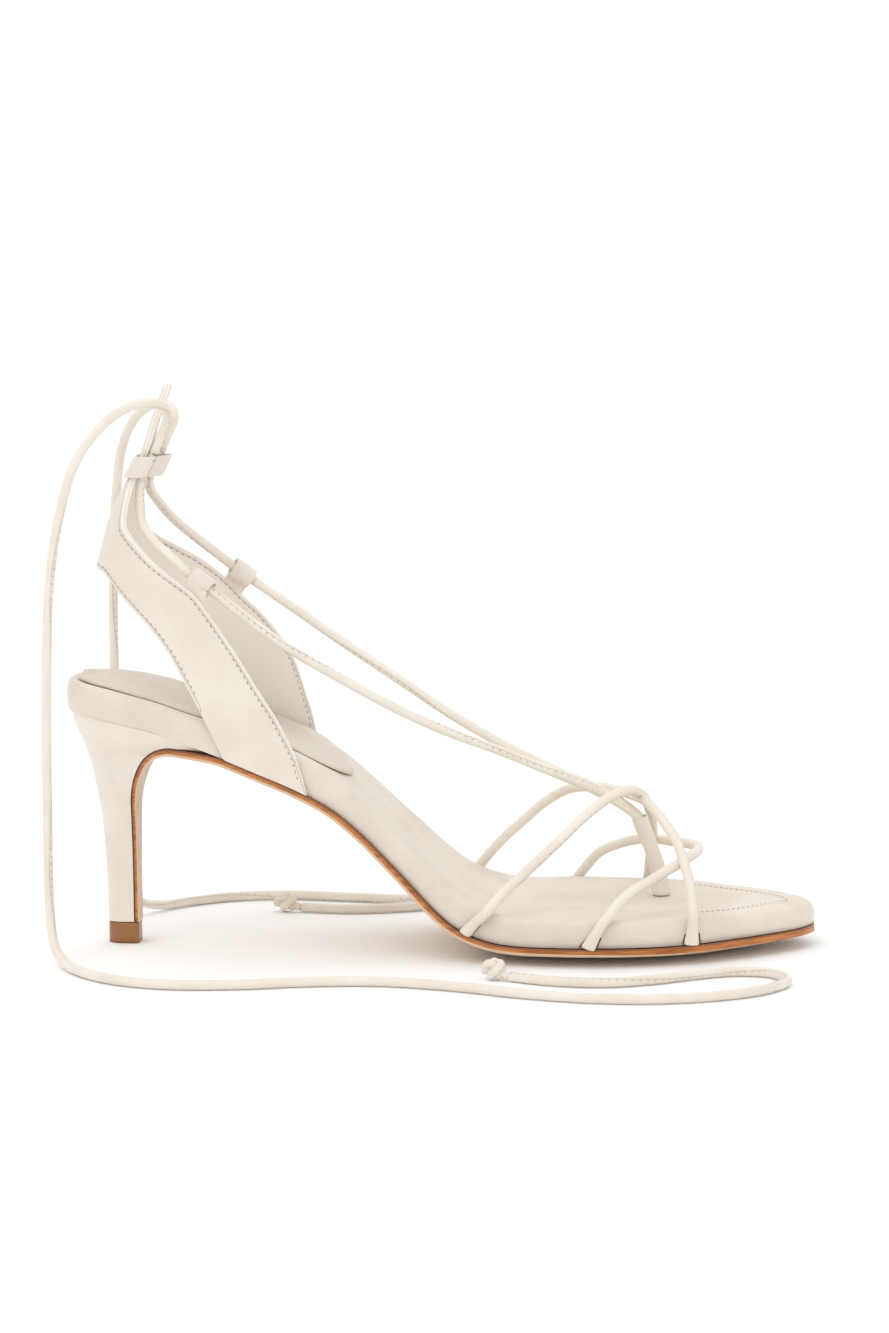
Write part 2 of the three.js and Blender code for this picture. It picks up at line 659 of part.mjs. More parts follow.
// The leather outsole with its flap down the heel's breast: a section carried along its path
function outsole() {
  const path = outsolePath();
  const shares = [-1, -0.85, -0.65, -flatShare, flatShare, 0.65, 0.85, 1];
  const rings = path.map((p, i) => {
    const before = path[Math.max(0, i - 1)];
    const after = path[Math.min(path.length - 1, i + 1)];
    const tangent = new THREE.Vector2(after.x - before.x, after.z - before.z).normalize();
    const down = i === path.length - 1 ? new THREE.Vector2(1, 0)
      : new THREE.Vector2(-tangent.y, tangent.x);
    const middle = (p.inner - p.outer) / 2;
    const half = (p.inner + p.outer) / 2;
    const onFoot = i < path.length - 1 ? p.x : 0;
    const lift = (share) => (i < outsoleForefootCount(path) ? crownLift(onFoot, share) : 0);
    const upper = shares.map((share) => vector(p.x, middle + half * share, p.z + lift(share)));
    const lower = shares.map((share) => vector(p.x + down.x * p.thickness,
      middle + half * share, Math.max(0, p.z + down.y * p.thickness) + lift(share)));
    return [...upper, ...lower.reverse()];
  });
  return loft(rings);
}

const outsoleForefootCount = (path) => path.findIndex((p) => p.x < wingFront + 1);

// The covered heel: D-shaped sections from its foot up to the seat, cut by the bed above and by the
// outsole's path in front
function heel() {
  const half = 9;
  const front = wingFront - 1;
  const levels = [];
  for (let k = 0; k < heelRows.length - 1; k += 1) {
    levels.push(heelRows[k].height, (heelRows[k].height + heelRows[k + 1].height) / 2);
  }
  levels.push(heelRows[heelRows.length - 1].height);
  const roundPower = 2.3;
  const rings = levels.map((level) => {
    const z = level * heelRise + (level === levels[0] ? clearance : 0);
    const back = heelColumn('back', z) * footLength;
    const round = heelColumn('round', z) * footLength;
    const width = heelColumn('width', z);
    const points = [];
    for (let side = -1; side <= 1; side += 2) {
      const row = [];
      for (let k = 0; k <= half; k += 1) {
        const turn = (k / half) * (Math.PI / 2);
        const reach = 1 - Math.cos(turn) ** (2 / roundPower);
        const out = Math.sin(turn) ** (2 / roundPower);
        row.push(vector(back + round * reach, side * seatHalf(side) * width * out, z));
      }
      row.push(vector(front, side * seatHalf(side) * width, z));
      points.push(...(side < 0 ? row.reverse() : row.slice(1)));
    }
    return points;
  });
  const body = toSolid(loft(rings));
  return toGeometry(body.subtract(aboveBed()).subtract(inFrontOfBreast()));
}

// Slab between two curves of the side view, as wide as the shoe, used to cut the heel
function sideSlab(corners) {
  const shape = new THREE.Shape(corners.map(([x, z]) => new THREE.Vector2(x, z)));
  const geometry = new THREE.ExtrudeGeometry(shape, { depth: 2 * ballWidth, bevelEnabled: false });
  geometry.rotateX(Math.PI / 2);
  geometry.translate(0, ballWidth, 0);
  return toSolid(geometry);
}

function aboveBed() {
  const corners = [];
  const steps = 20;
  for (let k = 0; k <= steps; k += 1) {
    const x = -cutMargin + ((wingFront + 2 * cutMargin) * k) / steps;
    corners.push([x, bedUnderside(x) - clearance]);
  }
  corners.push([wingFront + cutMargin, 2 * heelRise], [-cutMargin, 2 * heelRise]);
  return sideSlab(corners);
}

function inFrontOfBreast() {
  const path = outsolePath().slice(0, -1).filter((p) => p.x < wingFront + cutMargin);
  const corners = path.map((p, i) => {
    const before = path[Math.max(0, i - 1)];
    const after = path[Math.min(path.length - 1, i + 1)];
    const tangent = new THREE.Vector2(after.x - before.x, after.z - before.z).normalize();
    return [p.x + tangent.y * clearance, p.z - tangent.x * clearance];
  });
  const ahead = wingFront + 2 * cutMargin;
  corners.push([breastAlong - clearance, -cutMargin], [ahead, -cutMargin], [ahead, corners[0][1]]);
  return sideSlab(corners);
}

// The top piece that the heel stands on, under heel and flap
function topPiece() {
  const back = heelRows[0].back * footLength;
  const front = breastAlong + flapThickness - clearance;
  const half = heelRows[0].width * seatHalf(-1);
  const round = heelRows[0].round * footLength;
  const steps = 8;
  const shape = new THREE.Shape();
  shape.moveTo(front, half);
  for (let k = 0; k <= 2 * steps; k += 1) {
    const turn = Math.PI / 2 - (k / steps) * (Math.PI / 2);
    shape.lineTo(back + round * (1 - Math.cos(turn)), half * Math.sin(turn));
  }
  shape.lineTo(front, -half);
  shape.closePath();
  const geometry = new THREE.ExtrudeGeometry(shape, { depth: topPieceHeight, bevelEnabled: false });
  return toGeometry(toSolid(geometry));
}

// The thin padded sock over the bed's heel, round at both ends
function heelSock() {
  const stations = 22;
  const across = [-1, -0.75, -0.4, 0, 0.4, 0.75, 1];
  const back = sockInset + thinnestEdge;
  const rings = [];
  const endRound = 0.16;
  for (let k = 0; k <= stations; k += 1) {
    const t = 0.5 - 0.5 * Math.cos((Math.PI * (k + 0.35)) / (stations + 0.7));
    const x = back + (sockFront - back) * t;
    const toFront = Math.min(1, (1 - t) / endRound);
    const roundEnd = Math.sqrt(Math.max(0, 1 - (1 - toFront) ** 2));
    const edge = (side) => Math.max(thinnestEdge,
      halfWidth(side, x - back / 2) - sockInset) * roundEnd;
    const place = (share, rise) => {
      const y = share < 0 ? share * edge(-1) : share * edge(1);
      return vector(x, y, bedTop(x, bedShare(x, share)) + rise);
    };
    const lower = across.map((share) => place(share, clearance));
    const upper = across.map((share) => place(share, clearance + sockThickness));
    rings.push([...lower, ...upper.reverse()]);
  }
  return loft(rings);
}

// A point of the heel band: side -1 outer or +1 inner, distance round from the back in quarter
// turns, height from the floor, and depth into the wall
function bandPoint(side, around, height, depth) {
  const back = read(bandBackRows, 'height', 'back', (height - seatHeight) / bandHeight) * footLength;
  const nose = bandNose - depth;
  const turn = Math.min(1, around) * (Math.PI / 2);
  const beyond = Math.max(0, around - 1) * bandNose * (Math.PI / 2);
  const x = back + depth + nose * (1 - Math.cos(turn)) + beyond;
  const place = Math.max(x, seatPlace);
  const lean = bandLean * Math.max(0, height - bedRim(place));
  const half = halfWidth(side, place) + clearance * 1.5 + bandThickness - depth - lean;
  return vector(x, side * half * Math.sin(turn), height);
}

// Height of the band's edges: the lower one runs down to the outsole and then along it
function bandEdges(side, around) {
  const upperRows = side < 0 ? outerUpperRows : innerUpperRows;
  const rise = (rows) => seatHeight + read(rows, 'around', 'height', around) * bandHeight;
  const foot = outsoleTop(bandPoint(side, around, seatHeight, 0).x) + clearance;
  const lower = Math.max(rise(lowerEdgeRows), foot);
  return { lower, upper: Math.max(rise(upperRows), lower + thinnestEdge) };
}

function heelBand() {
  const columns = [];
  for (let k = bandColumns.length - 1; k > 0; k -= 1) columns.push([-1, bandColumns[k]]);
  bandColumns.forEach((around) => columns.push([1, around]));
  const grid = (depth) => columns.map(([side, around]) => {
    const { lower, upper } = bandEdges(side, around);
    const column = [];
    for (let r = 0; r < bandRowCount; r += 1) {
      const height = lower + ((upper - lower) * r) / (bandRowCount - 1);
      column.push(bandPoint(side, around, height, depth));
    }
    return column;
  });
  return wall(grid(0), grid(bandThickness));
}

// One vamp cord: from its outer foot beside the bed, over the foot's room, to its inner foot
function vampCord(rows, feet) {
  const footPoints = (side, low, rim) => {
    const stand = (share, z) => {
      const x = share * footLength;
      const slope = (halfWidth(side, x + 1) - halfWidth(side, x - 1)) / 2;
      const off = (clearance + cordRadius) * Math.hypot(1, slope);
      return vector(x, side * (halfWidth(side, x) + off), z);
    };
    const floor = bedEdge(low * footLength) + clearance * 2;
    const top = bedRim(rim * footLength);
    return [stand(low, floor), stand((low + rim) / 2, (floor + top) / 2), stand(rim, top)];
  };
  const outer = footPoints(-1, feet.outerLow, feet.outerRim);
  const inner = footPoints(1, feet.innerLow, feet.innerRim);
  const arch = rows.map((row) => vector(row.along * footLength, row.across * ballWidth,
    row.height * strapHeight));
  return toSolid(cord([...outer, ...arch, ...inner.reverse()], cordRadius, cordSteps));
}

function vampStraps() {
  const rear = vampCord(rearCordRows, rearCordFeet);
  const cross = vampCord(crossCordRows, crossCordFeet);
  const toe = vampCord(toeCordRows, toeCordFeet);
  return toGeometry(rear.add(cross).add(toe));
}

const rowPoint = (row, heightSize) => vector(row.along * footLength, row.across * ballWidth,
  row.height * heightSize);
const bandRowPoint = (row) => vector(row.along * footLength, row.across * ballWidth,
  seatHeight + row.height * bandHeight);

// Distance round the band at which its outer face stands at a place along the shoe
function bandAround(side, along, height) {
  const quarter = bandPoint(side, 1, height, 0).x;
  return 1 + (along - quarter) / (bandNose * (Math.PI / 2));
}

// The middle of a side keeper's hole
function keeperMiddle(side) {
  const row = side < 0 ? outerKeeperAt : innerKeeperAt;
  const along = row.along * footLength;
  const height = seatHeight + row.height * bandHeight;
  const depth = row.inset * bandThickness;
  return bandPoint(side, bandAround(side, along, height), height, depth);
}

// The lace's route on one side, from inside the post's mouth to the top of the back keeper
function laceRoute(side) {
  const top = rowPoint(postRows[postRows.length - 1], postHeight);
  const apart = laceRadius * lacesApart;
  const closed = 0.75;
  const start = vector(top.x + laceLead, top.y + side * apart * closed, top.z - laceTuck);
  const mouth = vector(top.x - laceLead, top.y + side * apart, top.z + laceLead);
  const keeper = keeperMiddle(side);
  const run = (side < 0 ? outerRunRows : innerRunRows).map((row) => {
    const point = mouth.clone().lerp(keeper, row.reach);
    return vector(point.x, row.across * ballWidth, point.z + row.rise * laceSag);
  });
  const rear = (side < 0 ? outerRearRows : innerRearRows).map(bandRowPoint);
  return [start, mouth, ...run, keeper, ...rear];
}

const laceSolid = (side, radius) => toSolid(cord(laceRoute(side), radius, laceSteps));

// Room for the lace's start inside the post's mouth
function laceRoom(side) {
  const route = laceRoute(side);
  const start = route[0].clone().sub(route[1]).setLength(clearance * 2).add(route[0]);
  return toSolid(cord([start, ...route], laceRadius + clearance, laceSteps));
}

function laces() {
  return toGeometry(laceSolid(-1, laceRadius).add(laceSolid(1, laceRadius)));
}

// The toe post: round sections along its leaning line, with a mouth on top that holds the lace
function toePost() {
  const sides = 14;
  const steps = 10;
  const points = postRows.map((row) => rowPoint(row, postHeight));
  points[0].z = bedTop(points[0].x, flatShare) + clearance;
  const curve = new THREE.CatmullRomCurve3(points, false, 'centripetal');
  const swells = postRows.map((row, i) => ({ t: i / (postRows.length - 1), swell: row.swell }));
  const rings = [];
  for (let k = 0; k <= steps; k += 1) {
    const t = k / steps;
    const middle = curve.getPoint(t);
    const swell = read(swells, 't', 'swell', t);
    const radius = (postRadius + (postTopRadius - postRadius) * t) * swell;
    const widen = 1 + mouthWiden * t * t;
    const tilt = mouthTilt * Math.max(0, 2 * t - 1);
    const ring = [];
    for (let i = 0; i < sides; i += 1) {
      const turn = (i / sides) * 2 * Math.PI;
      const ahead = radius * Math.cos(turn);
      ring.push(vector(middle.x + ahead * Math.cos(tilt), middle.y + radius * widen * Math.sin(turn),
        middle.z + ahead * Math.sin(tilt)));
    }
    rings.push(ring);
  }
  const body = toSolid(loft(rings));
  return toGeometry(body.subtract(laceRoom(-1)).subtract(laceRoom(1)));
}

// Loop of leather round a lace beside the band's upper edge, with its tail on the band's inner face
function sideKeeper(side) {
  const route = laceRoute(side);
  const at = (side < 0 ? outerRunRows : innerRunRows).length + 2;
  const middle = route[at];
  const axis = route[at + 1].clone().sub(route[at - 1]).normalize();
  const outward = vector(0, side, 0).addScaledVector(axis, -axis.y * side).normalize();
  const up = axis.clone().cross(outward).multiplyScalar(-side).normalize();
  const bore = laceRadius + keeperSlack;
  const halfOut = bore + keeperWall;
  const halfUp = halfOut + keeperHeadroom;
  const frame = new THREE.Matrix4().makeBasis(outward, up, outward.clone().cross(up));
  const ringShape = (halfA, halfB, round) => {
    const shape = new THREE.Shape();
    shape.moveTo(-halfA + round, -halfB);
    shape.lineTo(halfA - round, -halfB);
    shape.quadraticCurveTo(halfA, -halfB, halfA, -halfB + round);
    shape.lineTo(halfA, halfB - round);
    shape.quadraticCurveTo(halfA, halfB, halfA - round, halfB);
    shape.lineTo(-halfA + round, halfB);
    shape.quadraticCurveTo(-halfA, halfB, -halfA, halfB - round);
    shape.lineTo(-halfA, -halfB + round);
    shape.quadraticCurveTo(-halfA, -halfB, -halfA + round, -halfB);
    return shape;
  };
  const block = (halfA, halfB, round, length) => {
    const geometry = new THREE.ExtrudeGeometry(ringShape(halfA, halfB, round), {
      depth: length, bevelEnabled: false, curveSegments: 4,
    });
    geometry.translate(0, 0, -length / 2);
    geometry.applyMatrix4(frame);
    geometry.translate(middle.x, middle.y, middle.z);
    return toSolid(geometry);
  };
  const ring = block(halfOut, halfUp, keeperRound, keeperLength);
  const hole = block(bore, bore + keeperHeadroom, keeperRound - keeperWall / 2, keeperLength * 2);
  return toGeometry(ring.add(keeperTailSolid(side, middle, axis)).subtract(hole));
}

// The keeper's tail: a patch that follows the band's inner face from the loop downwards
function keeperTailSolid(side, middle, axis) {
  const steps = 4;
  const depthNear = bandThickness + clearance;
  const depthFar = depthNear + keeperWall;
  const halfLength = (keeperLength / 2) * Math.hypot(axis.x, axis.z);
  const topDrop = laceRadius * 0.6;
  const grid = (depth) => {
    const rows = [];
    for (let i = 0; i <= steps; i += 1) {
      const shift = halfLength * ((2 * i) / steps - 1);
      const row = [];
      for (let r = 0; r <= steps; r += 1) {
        const drop = topDrop + (keeperTail * r) / steps;
        const x = middle.x + axis.x * shift - Math.abs(axis.z) * drop;
        const z = middle.z + axis.z * shift - Math.abs(axis.x) * drop;
        row.push(bandPoint(side, bandAround(side, x, z), z, depth));
      }
      rows.push(row);
    }
    return rows;
  };
  return toSolid(wall(grid(depthNear), grid(depthFar)));
}

// The keeper round the band's tab and both laces, as a ring along the tab's slope, cut level
function backKeeper() {
  const outer = laceRoute(-1);
  const inner = laceRoute(1);
  const low = seatHeight + backKeeperStart * bandHeight;
  const tabBack = (z) => bandPoint(1, 0, z, 0);
  const from = tabBack(low);
  const to = tabBack(low + backKeeperHeight);
  const axis = to.clone().sub(from).normalize();
  const ahead = vector(axis.z, 0, -axis.x);
  const laceAhead = (route) => route[route.length - 2].clone().sub(from).dot(ahead);
  const bore = laceRadius + clearance;
  const tabHalf = clearance - bandPoint(-1, tabCorner, low, 0).y;
  const outerAhead = laceAhead(outer) + bore;
  const innerAhead = laceAhead(inner) + bore * 1.5;
  const lane = inner[inner.length - 2].y;
  const behind = backKeeperSlack;
  const outline = (grow) => {
    const shape = new THREE.Shape();
    shape.moveTo(-behind - grow, -tabHalf - grow);
    shape.lineTo(outerAhead * 0.75, -tabHalf - grow);
    shape.lineTo(outerAhead + grow, -tabHalf * 0.6);
    shape.lineTo(innerAhead + grow, lane - bore * 0.6);
    shape.lineTo(innerAhead + grow, lane + bore * 0.7);
    shape.lineTo(innerAhead * 0.72, tabHalf + grow);
    shape.lineTo(-behind - grow, tabHalf + grow);
    shape.closePath();
    return shape;
  };
  const frame = new THREE.Matrix4().makeBasis(ahead, vector(0, 1, 0), ahead.clone().cross(
    vector(0, 1, 0)));
  const block = (grow, length, start) => {
    const geometry = new THREE.ExtrudeGeometry(outline(grow), { depth: length,
      bevelEnabled: false });
    geometry.translate(0, 0, start);
    geometry.applyMatrix4(frame);
    geometry.translate(from.x, from.y, from.z);
    return toSolid(geometry);
  };
  const ring = block(keeperWall, backKeeperHeight * 4, -backKeeperHeight * 2);
  const hollow = ring.subtract(block(0, backKeeperHeight * 6, -backKeeperHeight * 3));
  const level = hollow.trimByPlane([0, 0, 1], low);
  return toGeometry(level.trimByPlane([0, 0, -1], -low - backKeeperHeight * axis.z));
}

// A free tie: starts just past the lace's end in the back keeper, then follows its chosen route
function tiePoints(side) {
  const route = laceRoute(side);
  const end = route[route.length - 1];
  const axis = end.clone().sub(route[route.length - 2]).normalize();
  const gap = clearance * 1.6;
  const start = end.clone().addScaledVector(axis, gap);
  const chosen = side < 0 ? outerTieRoute : innerTieRoute;
  return [start, ...chosen.map(([x, y, z]) => vector(x, y, z))];
}

const tie = (side) => cord(tiePoints(side), laceRadius, tieSteps);

// The stopper knot on a tie's end, lying on the floor
function tieKnot(side) {
  const points = tiePoints(side);
  const end = points[points.length - 1];
  const before = points[points.length - 2];
  const heading = Math.atan2(end.y - before.y, end.x - before.x);
  const steps = 7;
  const sides = 12;
  const blunt = 0.7;
  const profilePoints = [];
  for (let k = 0; k <= steps; k += 1) {
    const turn = (k / steps) * Math.PI;
    const radius = k === 0 || k === steps ? 0 : knotRadius * Math.sin(turn) ** blunt;
    profilePoints.push(new THREE.Vector2(radius, (knotLength / 2) * (1 - Math.cos(turn))));
  }
  const geometry = new THREE.LatheGeometry(profilePoints, sides);
  geometry.rotateZ(-Math.PI / 2);
  geometry.rotateZ(heading);
  const shift = clearance * 1.7;
  geometry.translate(end.x + shift * Math.cos(heading), end.y + shift * Math.sin(heading),
    knotRadius);
  return toGeometry(toSolid(geometry));
}

const group = new THREE.Group();
const cordNames = new Set();

function place(name, geometry, finish, isCord = false) {
  const mesh = new THREE.Mesh(geometry, new THREE.MeshStandardMaterial(finish));
  mesh.name = name;
  group.add(mesh);
  if (isCord) cordNames.add(name);
}

place('outsole', outsole(), soleLeather);
place('heel', heel(), leather);
place('top_piece', topPiece(), topPieceRubber);
place('footbed', footbed(), leather);
place('heel_sock', heelSock(), lining);
place('vamp_straps', vampStraps(), leather);
place('toe_post', toePost(), leather);
place('heel_band', heelBand(), leather);
place('side_keeper_outer', sideKeeper(-1), leather);
place('side_keeper_inner', sideKeeper(1), leather);
place('back_keeper', backKeeper(), leather);
place('lace', laces(), leather);
place('tie_outer', tie(-1), leather, true);
place('tie_inner', tie(1), leather, true);
place('tie_knot_outer', tieKnot(-1), leather, true);
place('tie_knot_inner', tieKnot(1), leather, true);

// The origin goes to the middle of the shoe's base, measured without the free ties
const box = new THREE.Box3();
group.children.filter((mesh) => !cordNames.has(mesh.name)).forEach((mesh) => {
  mesh.geometry.computeBoundingBox();
  box.union(mesh.geometry.boundingBox);
});
const middle = box.getCenter(new THREE.Vector3());
group.position.set(-middle.x, -middle.y, -box.min.z);

export default group;
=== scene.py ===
"""Right lace up heeled sandal in cream leather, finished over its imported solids.

Sizes are millimetres in the maker's frame: X runs from the heel's back to the toe, Y to the inner
side of the foot and Z up from the floor. A mesh goes into the scene in metres, in the row frame.
"""
from __future__ import annotations

import logging
import math
from dataclasses import dataclass, field
from enum import Enum
from functools import cached_property

import bpy
import numpy as np
from mathutils import Matrix, Vector


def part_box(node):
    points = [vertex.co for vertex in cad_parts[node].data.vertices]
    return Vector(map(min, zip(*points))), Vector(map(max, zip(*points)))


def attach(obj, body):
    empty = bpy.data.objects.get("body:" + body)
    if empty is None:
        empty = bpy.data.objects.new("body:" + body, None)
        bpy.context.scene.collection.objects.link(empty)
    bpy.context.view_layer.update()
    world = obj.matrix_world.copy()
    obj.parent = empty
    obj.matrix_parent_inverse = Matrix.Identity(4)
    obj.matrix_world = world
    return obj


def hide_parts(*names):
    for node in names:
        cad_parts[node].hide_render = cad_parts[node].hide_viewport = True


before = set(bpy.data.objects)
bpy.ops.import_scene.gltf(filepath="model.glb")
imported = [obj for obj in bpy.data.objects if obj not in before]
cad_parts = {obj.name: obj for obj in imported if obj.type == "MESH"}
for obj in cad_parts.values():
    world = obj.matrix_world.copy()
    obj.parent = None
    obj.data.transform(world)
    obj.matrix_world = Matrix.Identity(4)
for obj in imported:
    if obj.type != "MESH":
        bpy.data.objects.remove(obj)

Array = np.ndarray
Object = bpy.types.Object
Material = bpy.types.Material
Socket = bpy.types.NodeSocket
Colour = tuple[int, int, int]
log = logging.getLogger("sandal")

METRES = 0.001
ROOT = "root"
FOOT_LENGTH = 7.0
SEAM_SWING = 93.0
STITCH_WIDTH = 1.3
CORD_END = np.array([(0, 0.72), (0.06, 0.92), (0.28, 1)])


class Side(Enum):
    """The two sides of the foot, each with the sign of its Y."""

    OUTER = -1
    INNER = 1

    @property
    def word(self) -> str:
        """The side's name, as the nodes have it."""
        return self.name.lower()


class Cap(Enum):
    """How a skin's two ends are closed."""

    FAN = "triangles round a middle point"
    LADDER = "rungs between a ring's two halves"
    SPINDLE = "rungs beside a ring's first point and its middle one"


@dataclass(frozen=True)
class Table:
    """Rows of numbers under named columns, read smoothly between the rows."""

    names: str
    rows: tuple[tuple[float, ...], ...]

    def column(self, name: str) -> Array:
        """Returns one column as an array."""
        return np.array(self.rows)[:, self.names.split().index(name)]

    def read(self, name: str, place: Array) -> Array:
        """Reads a column by cubics that never overshoot.

        At a row the slope is the harmonic mean of the slopes beside it, or zero where they turn,
        and at an end it is the slope of the last stretch.

        Args:
            name: the column that is read.
            place: where, as a number or an array of the first column's values.

        Returns:
            The column's values at those places.
        """
        keys = np.array(self.rows)[:, 0]
        values = self.column(name)
        step = np.diff(keys)
        slope = np.diff(values) / step
        turning = slope[:-1] * slope[1:] <= 0
        mean = 2 * slope[:-1] * slope[1:] / np.where(turning, 1, slope[:-1] + slope[1:])
        tangent = np.concatenate([slope[:1], np.where(turning, 0, mean), slope[-1:]])
        place = np.clip(place, keys[0], keys[-1])
        i = np.clip(np.searchsorted(keys, place) - 1, 0, len(step) - 1)
        t = (place - keys[i]) / step[i]
        fall = (1 - t) ** 2
        return (values[i] * (1 + 2 * t) * fall + values[i + 1] * t * t * (3 - 2 * t)
                + step[i] * t * (tangent[i] * fall + tangent[i + 1] * t * (t - 1)))

OUTLINE = Table("along outer inner", (
    (0, 0, 0), (0.007, 0.115, 0.115), (0.027, 0.214, 0.214), (0.059, 0.284, 0.283),
    (0.105, 0.331, 0.325), (0.189, 0.35, 0.331), (0.294, 0.334, 0.29), (0.399, 0.335, 0.284),
    (0.483, 0.373, 0.348), (0.567, 0.436, 0.446), (0.651, 0.478, 0.51), (0.714, 0.484, 0.516),
    (0.777, 0.459, 0.493), (0.84, 0.395, 0.437), (0.895, 0.306, 0.361), (0.941, 0.204, 0.274),
    (0.975, 0.106, 0.185), (0.994, 0.019, 0.118), (1, -0.048, 0.048)))
PROFILE = Table("along rise spring depth crown tuck", (
    (0, 1, 0, 1.15, 0, 0), (0.059, 0.974, 0, 1.17, 0, 0), (0.118, 0.94, 0, 1.12, 0, 0),
    (0.168, 0.887, 0, 1.14, 0, 0), (0.218, 0.826, 0, 1.24, 0, 0.1), (0.269, 0.756, 0, 1.36, 0, 0.6),
    (0.319, 0.686, 0, 1.41, 0, 1), (0.361, 0.612, 0, 1.35, 0, 1), (0.399, 0.515, 0, 1.29, 0, 1),
    (0.437, 0.396, 0, 1.29, 0, 1), (0.471, 0.281, 0, 1.34, 0.08, 1), (0.5, 0.174, 0, 1.37, 0.3, 1),
    (0.529, 0.086, 0, 1.3, 0.62, 1), (0.559, 0.034, 0, 1.18, 0.85, 1),
    (0.592, 0.007, 0, 1.08, 0.97, 1), (0.626, 0, 0, 1.02, 1, 1), (0.782, 0, 0, 1, 1, 1),
    (0.84, 0, 0.09, 1.02, 0.95, 1), (0.891, 0, 0.35, 0.95, 0.75, 1),
    (0.941, 0, 0.65, 0.95, 0.45, 0.8), (1, 0, 1, 0.9, 0.05, 0.3)))
HEEL = Table("height back width round", (
    (0.091, 0.0504, 0.15, 0.021), (0.27, 0.0492, 0.15, 0.021), (0.44, 0.0465, 0.18, 0.023),
    (0.57, 0.0428, 0.235, 0.027), (0.67, 0.0378, 0.33, 0.036), (0.75, 0.0336, 0.455, 0.05),
    (0.81, 0.0294, 0.59, 0.068), (0.854, 0.0252, 0.73, 0.092), (0.89, 0.021, 0.88, 0.118),
    (0.93, 0.0155, 0.965, 0.143), (0.98, 0.0092, 0.995, 0.155), (1.08, 0.002, 1, 0.16)))
BAND_BACK = Table("height back", (
    (-0.3, 0.0412), (0.408, 0.0412), (0.495, 0.0486), (0.573, 0.058), (0.641, 0.0695),
    (0.689, 0.0807), (0.738, 0.0937), (0.806, 0.1067), (0.874, 0.116), (0.932, 0.1252),
    (1, 0.1366)))
BAND_LOWER = Table("around height", (
    (0, 0.435), (0.31, 0.43), (0.435, 0.411), (0.575, 0.369), (0.725, 0.319), (0.865, 0.266),
    (0.995, 0.2), (1.075, 0.147), (1.155, 0.09), (1.265, 0.01), (1.415, -0.116),
    (1.555, -0.26), (2.155, -0.9)))
BAND_UPPER = {
    Side.OUTER: Table("around height", (
        (0.17, 0.775), (0.185, 0.74), (0.195, 0.715), (0.22, 0.7), (0.26, 0.686), (0.3, 0.668),
        (0.34, 0.645), (0.375, 0.618), (0.41, 0.593), (0.455, 0.57), (0.555, 0.544),
        (0.685, 0.511), (0.83, 0.472), (0.955, 0.441), (1.095, 0.403), (1.19, 0.374),
        (1.255, 0.342), (1.385, 0.271), (1.525, 0.189), (1.675, 0.092), (1.825, 0),
        (1.895, -0.052), (1.975, -0.116), (2.055, -0.225))),
    Side.INNER: Table("around height", (
        (0.17, 0.775), (0.185, 0.74), (0.195, 0.715), (0.23, 0.698), (0.28, 0.68), (0.33, 0.659),
        (0.38, 0.635), (0.41, 0.612), (0.57, 0.552), (0.7, 0.518), (0.92, 0.476), (1.1, 0.441),
        (1.31, 0.378), (1.465, 0.315), (1.615, 0.26), (1.765, 0.183), (1.865, 0.11),
        (1.935, 0.017), (1.995, -0.07), (2.055, -0.225))),
}
TAB_END = ((0.17, 0.775), (0.163, 0.84), (0.157, 0.9), (0.153, 0.95), (0.147, 0.98), (0.128, 0.996),
           (0.09, 1), (0, 1))


def smooth_line(points: Array, step: float) -> Array:
    """Carries a centripetal Catmull-Rom curve through points and lays even steps along it.

    Between two points the curve is a cubic whose end slopes weigh the neighbouring stretches by
    the square roots of their lengths. The ends reach on as the last stretch does.

    Args:
        points: (n, 3) or (n, 2) points.
        step: the wanted distance between the samples.

    Returns:
        Points of the curve, evenly spaced along it, both ends among them.
    """
    points = np.asarray(points, float)
    reach = np.vstack([2 * points[0] - points[1], points, 2 * points[-1] - points[-2]])
    gap = np.linalg.norm(np.diff(reach, axis=0), axis=1)[:, None] ** 0.5
    a, b, c, d = reach[:-3], reach[1:-2], reach[2:-1], reach[3:]
    before, here, after = gap[:-2], gap[1:-1], gap[2:]
    start = here * ((b - a) / before - (c - a) / (before + here) + (c - b) / here)
    end = here * ((c - b) / here - (d - b) / (here + after) + (d - c) / after)
    t = np.linspace(0, 1, 33)[:-1, None, None]
    fall = (1 - t) ** 2
    curve = (b * (1 + 2 * t) * fall + c * t * t * (3 - 2 * t)
             + start * t * fall + end * t * t * (t - 1))
    curve = np.vstack([curve.transpose(1, 0, 2).reshape(-1, points.shape[1]), points[-1:]])
    return evenly(curve, step)


def distance_along(line: Array) -> Array:
    """Returns how far along a line each of its points is."""
    return np.concatenate([[0], np.cumsum(np.linalg.norm(np.diff(line, axis=0), axis=1))])


def evenly(line: Array, step: float) -> Array:
    """Lays points on a line at even distances near step, both ends kept."""
    far = distance_along(line)
    marks = np.linspace(0, far[-1], max(2, round(far[-1] / step) + 1))
    return np.stack([np.interp(marks, far, column) for column in line.T], axis=1)


def unit(vectors: Array) -> Array:
    """Returns vectors at length one."""
    return vectors / np.linalg.norm(vectors, axis=-1, keepdims=True)


def tangents(line: Array) -> Array:
    """Returns a line's direction at each of its points, from the points beside it."""
    return unit(np.gradient(line, axis=0))


def square_to(run: Array) -> Array:
    """Turns plane directions a quarter to the left."""
    return np.stack([-run[:, 1], run[:, 0]], axis=-1)


def smooth_step(share: Array) -> Array:
    """Returns three times the square of a share less twice its cube, the share kept in 0 to 1."""
    share = np.clip(share, 0, 1)
    return share * share * (3 - 2 * share)


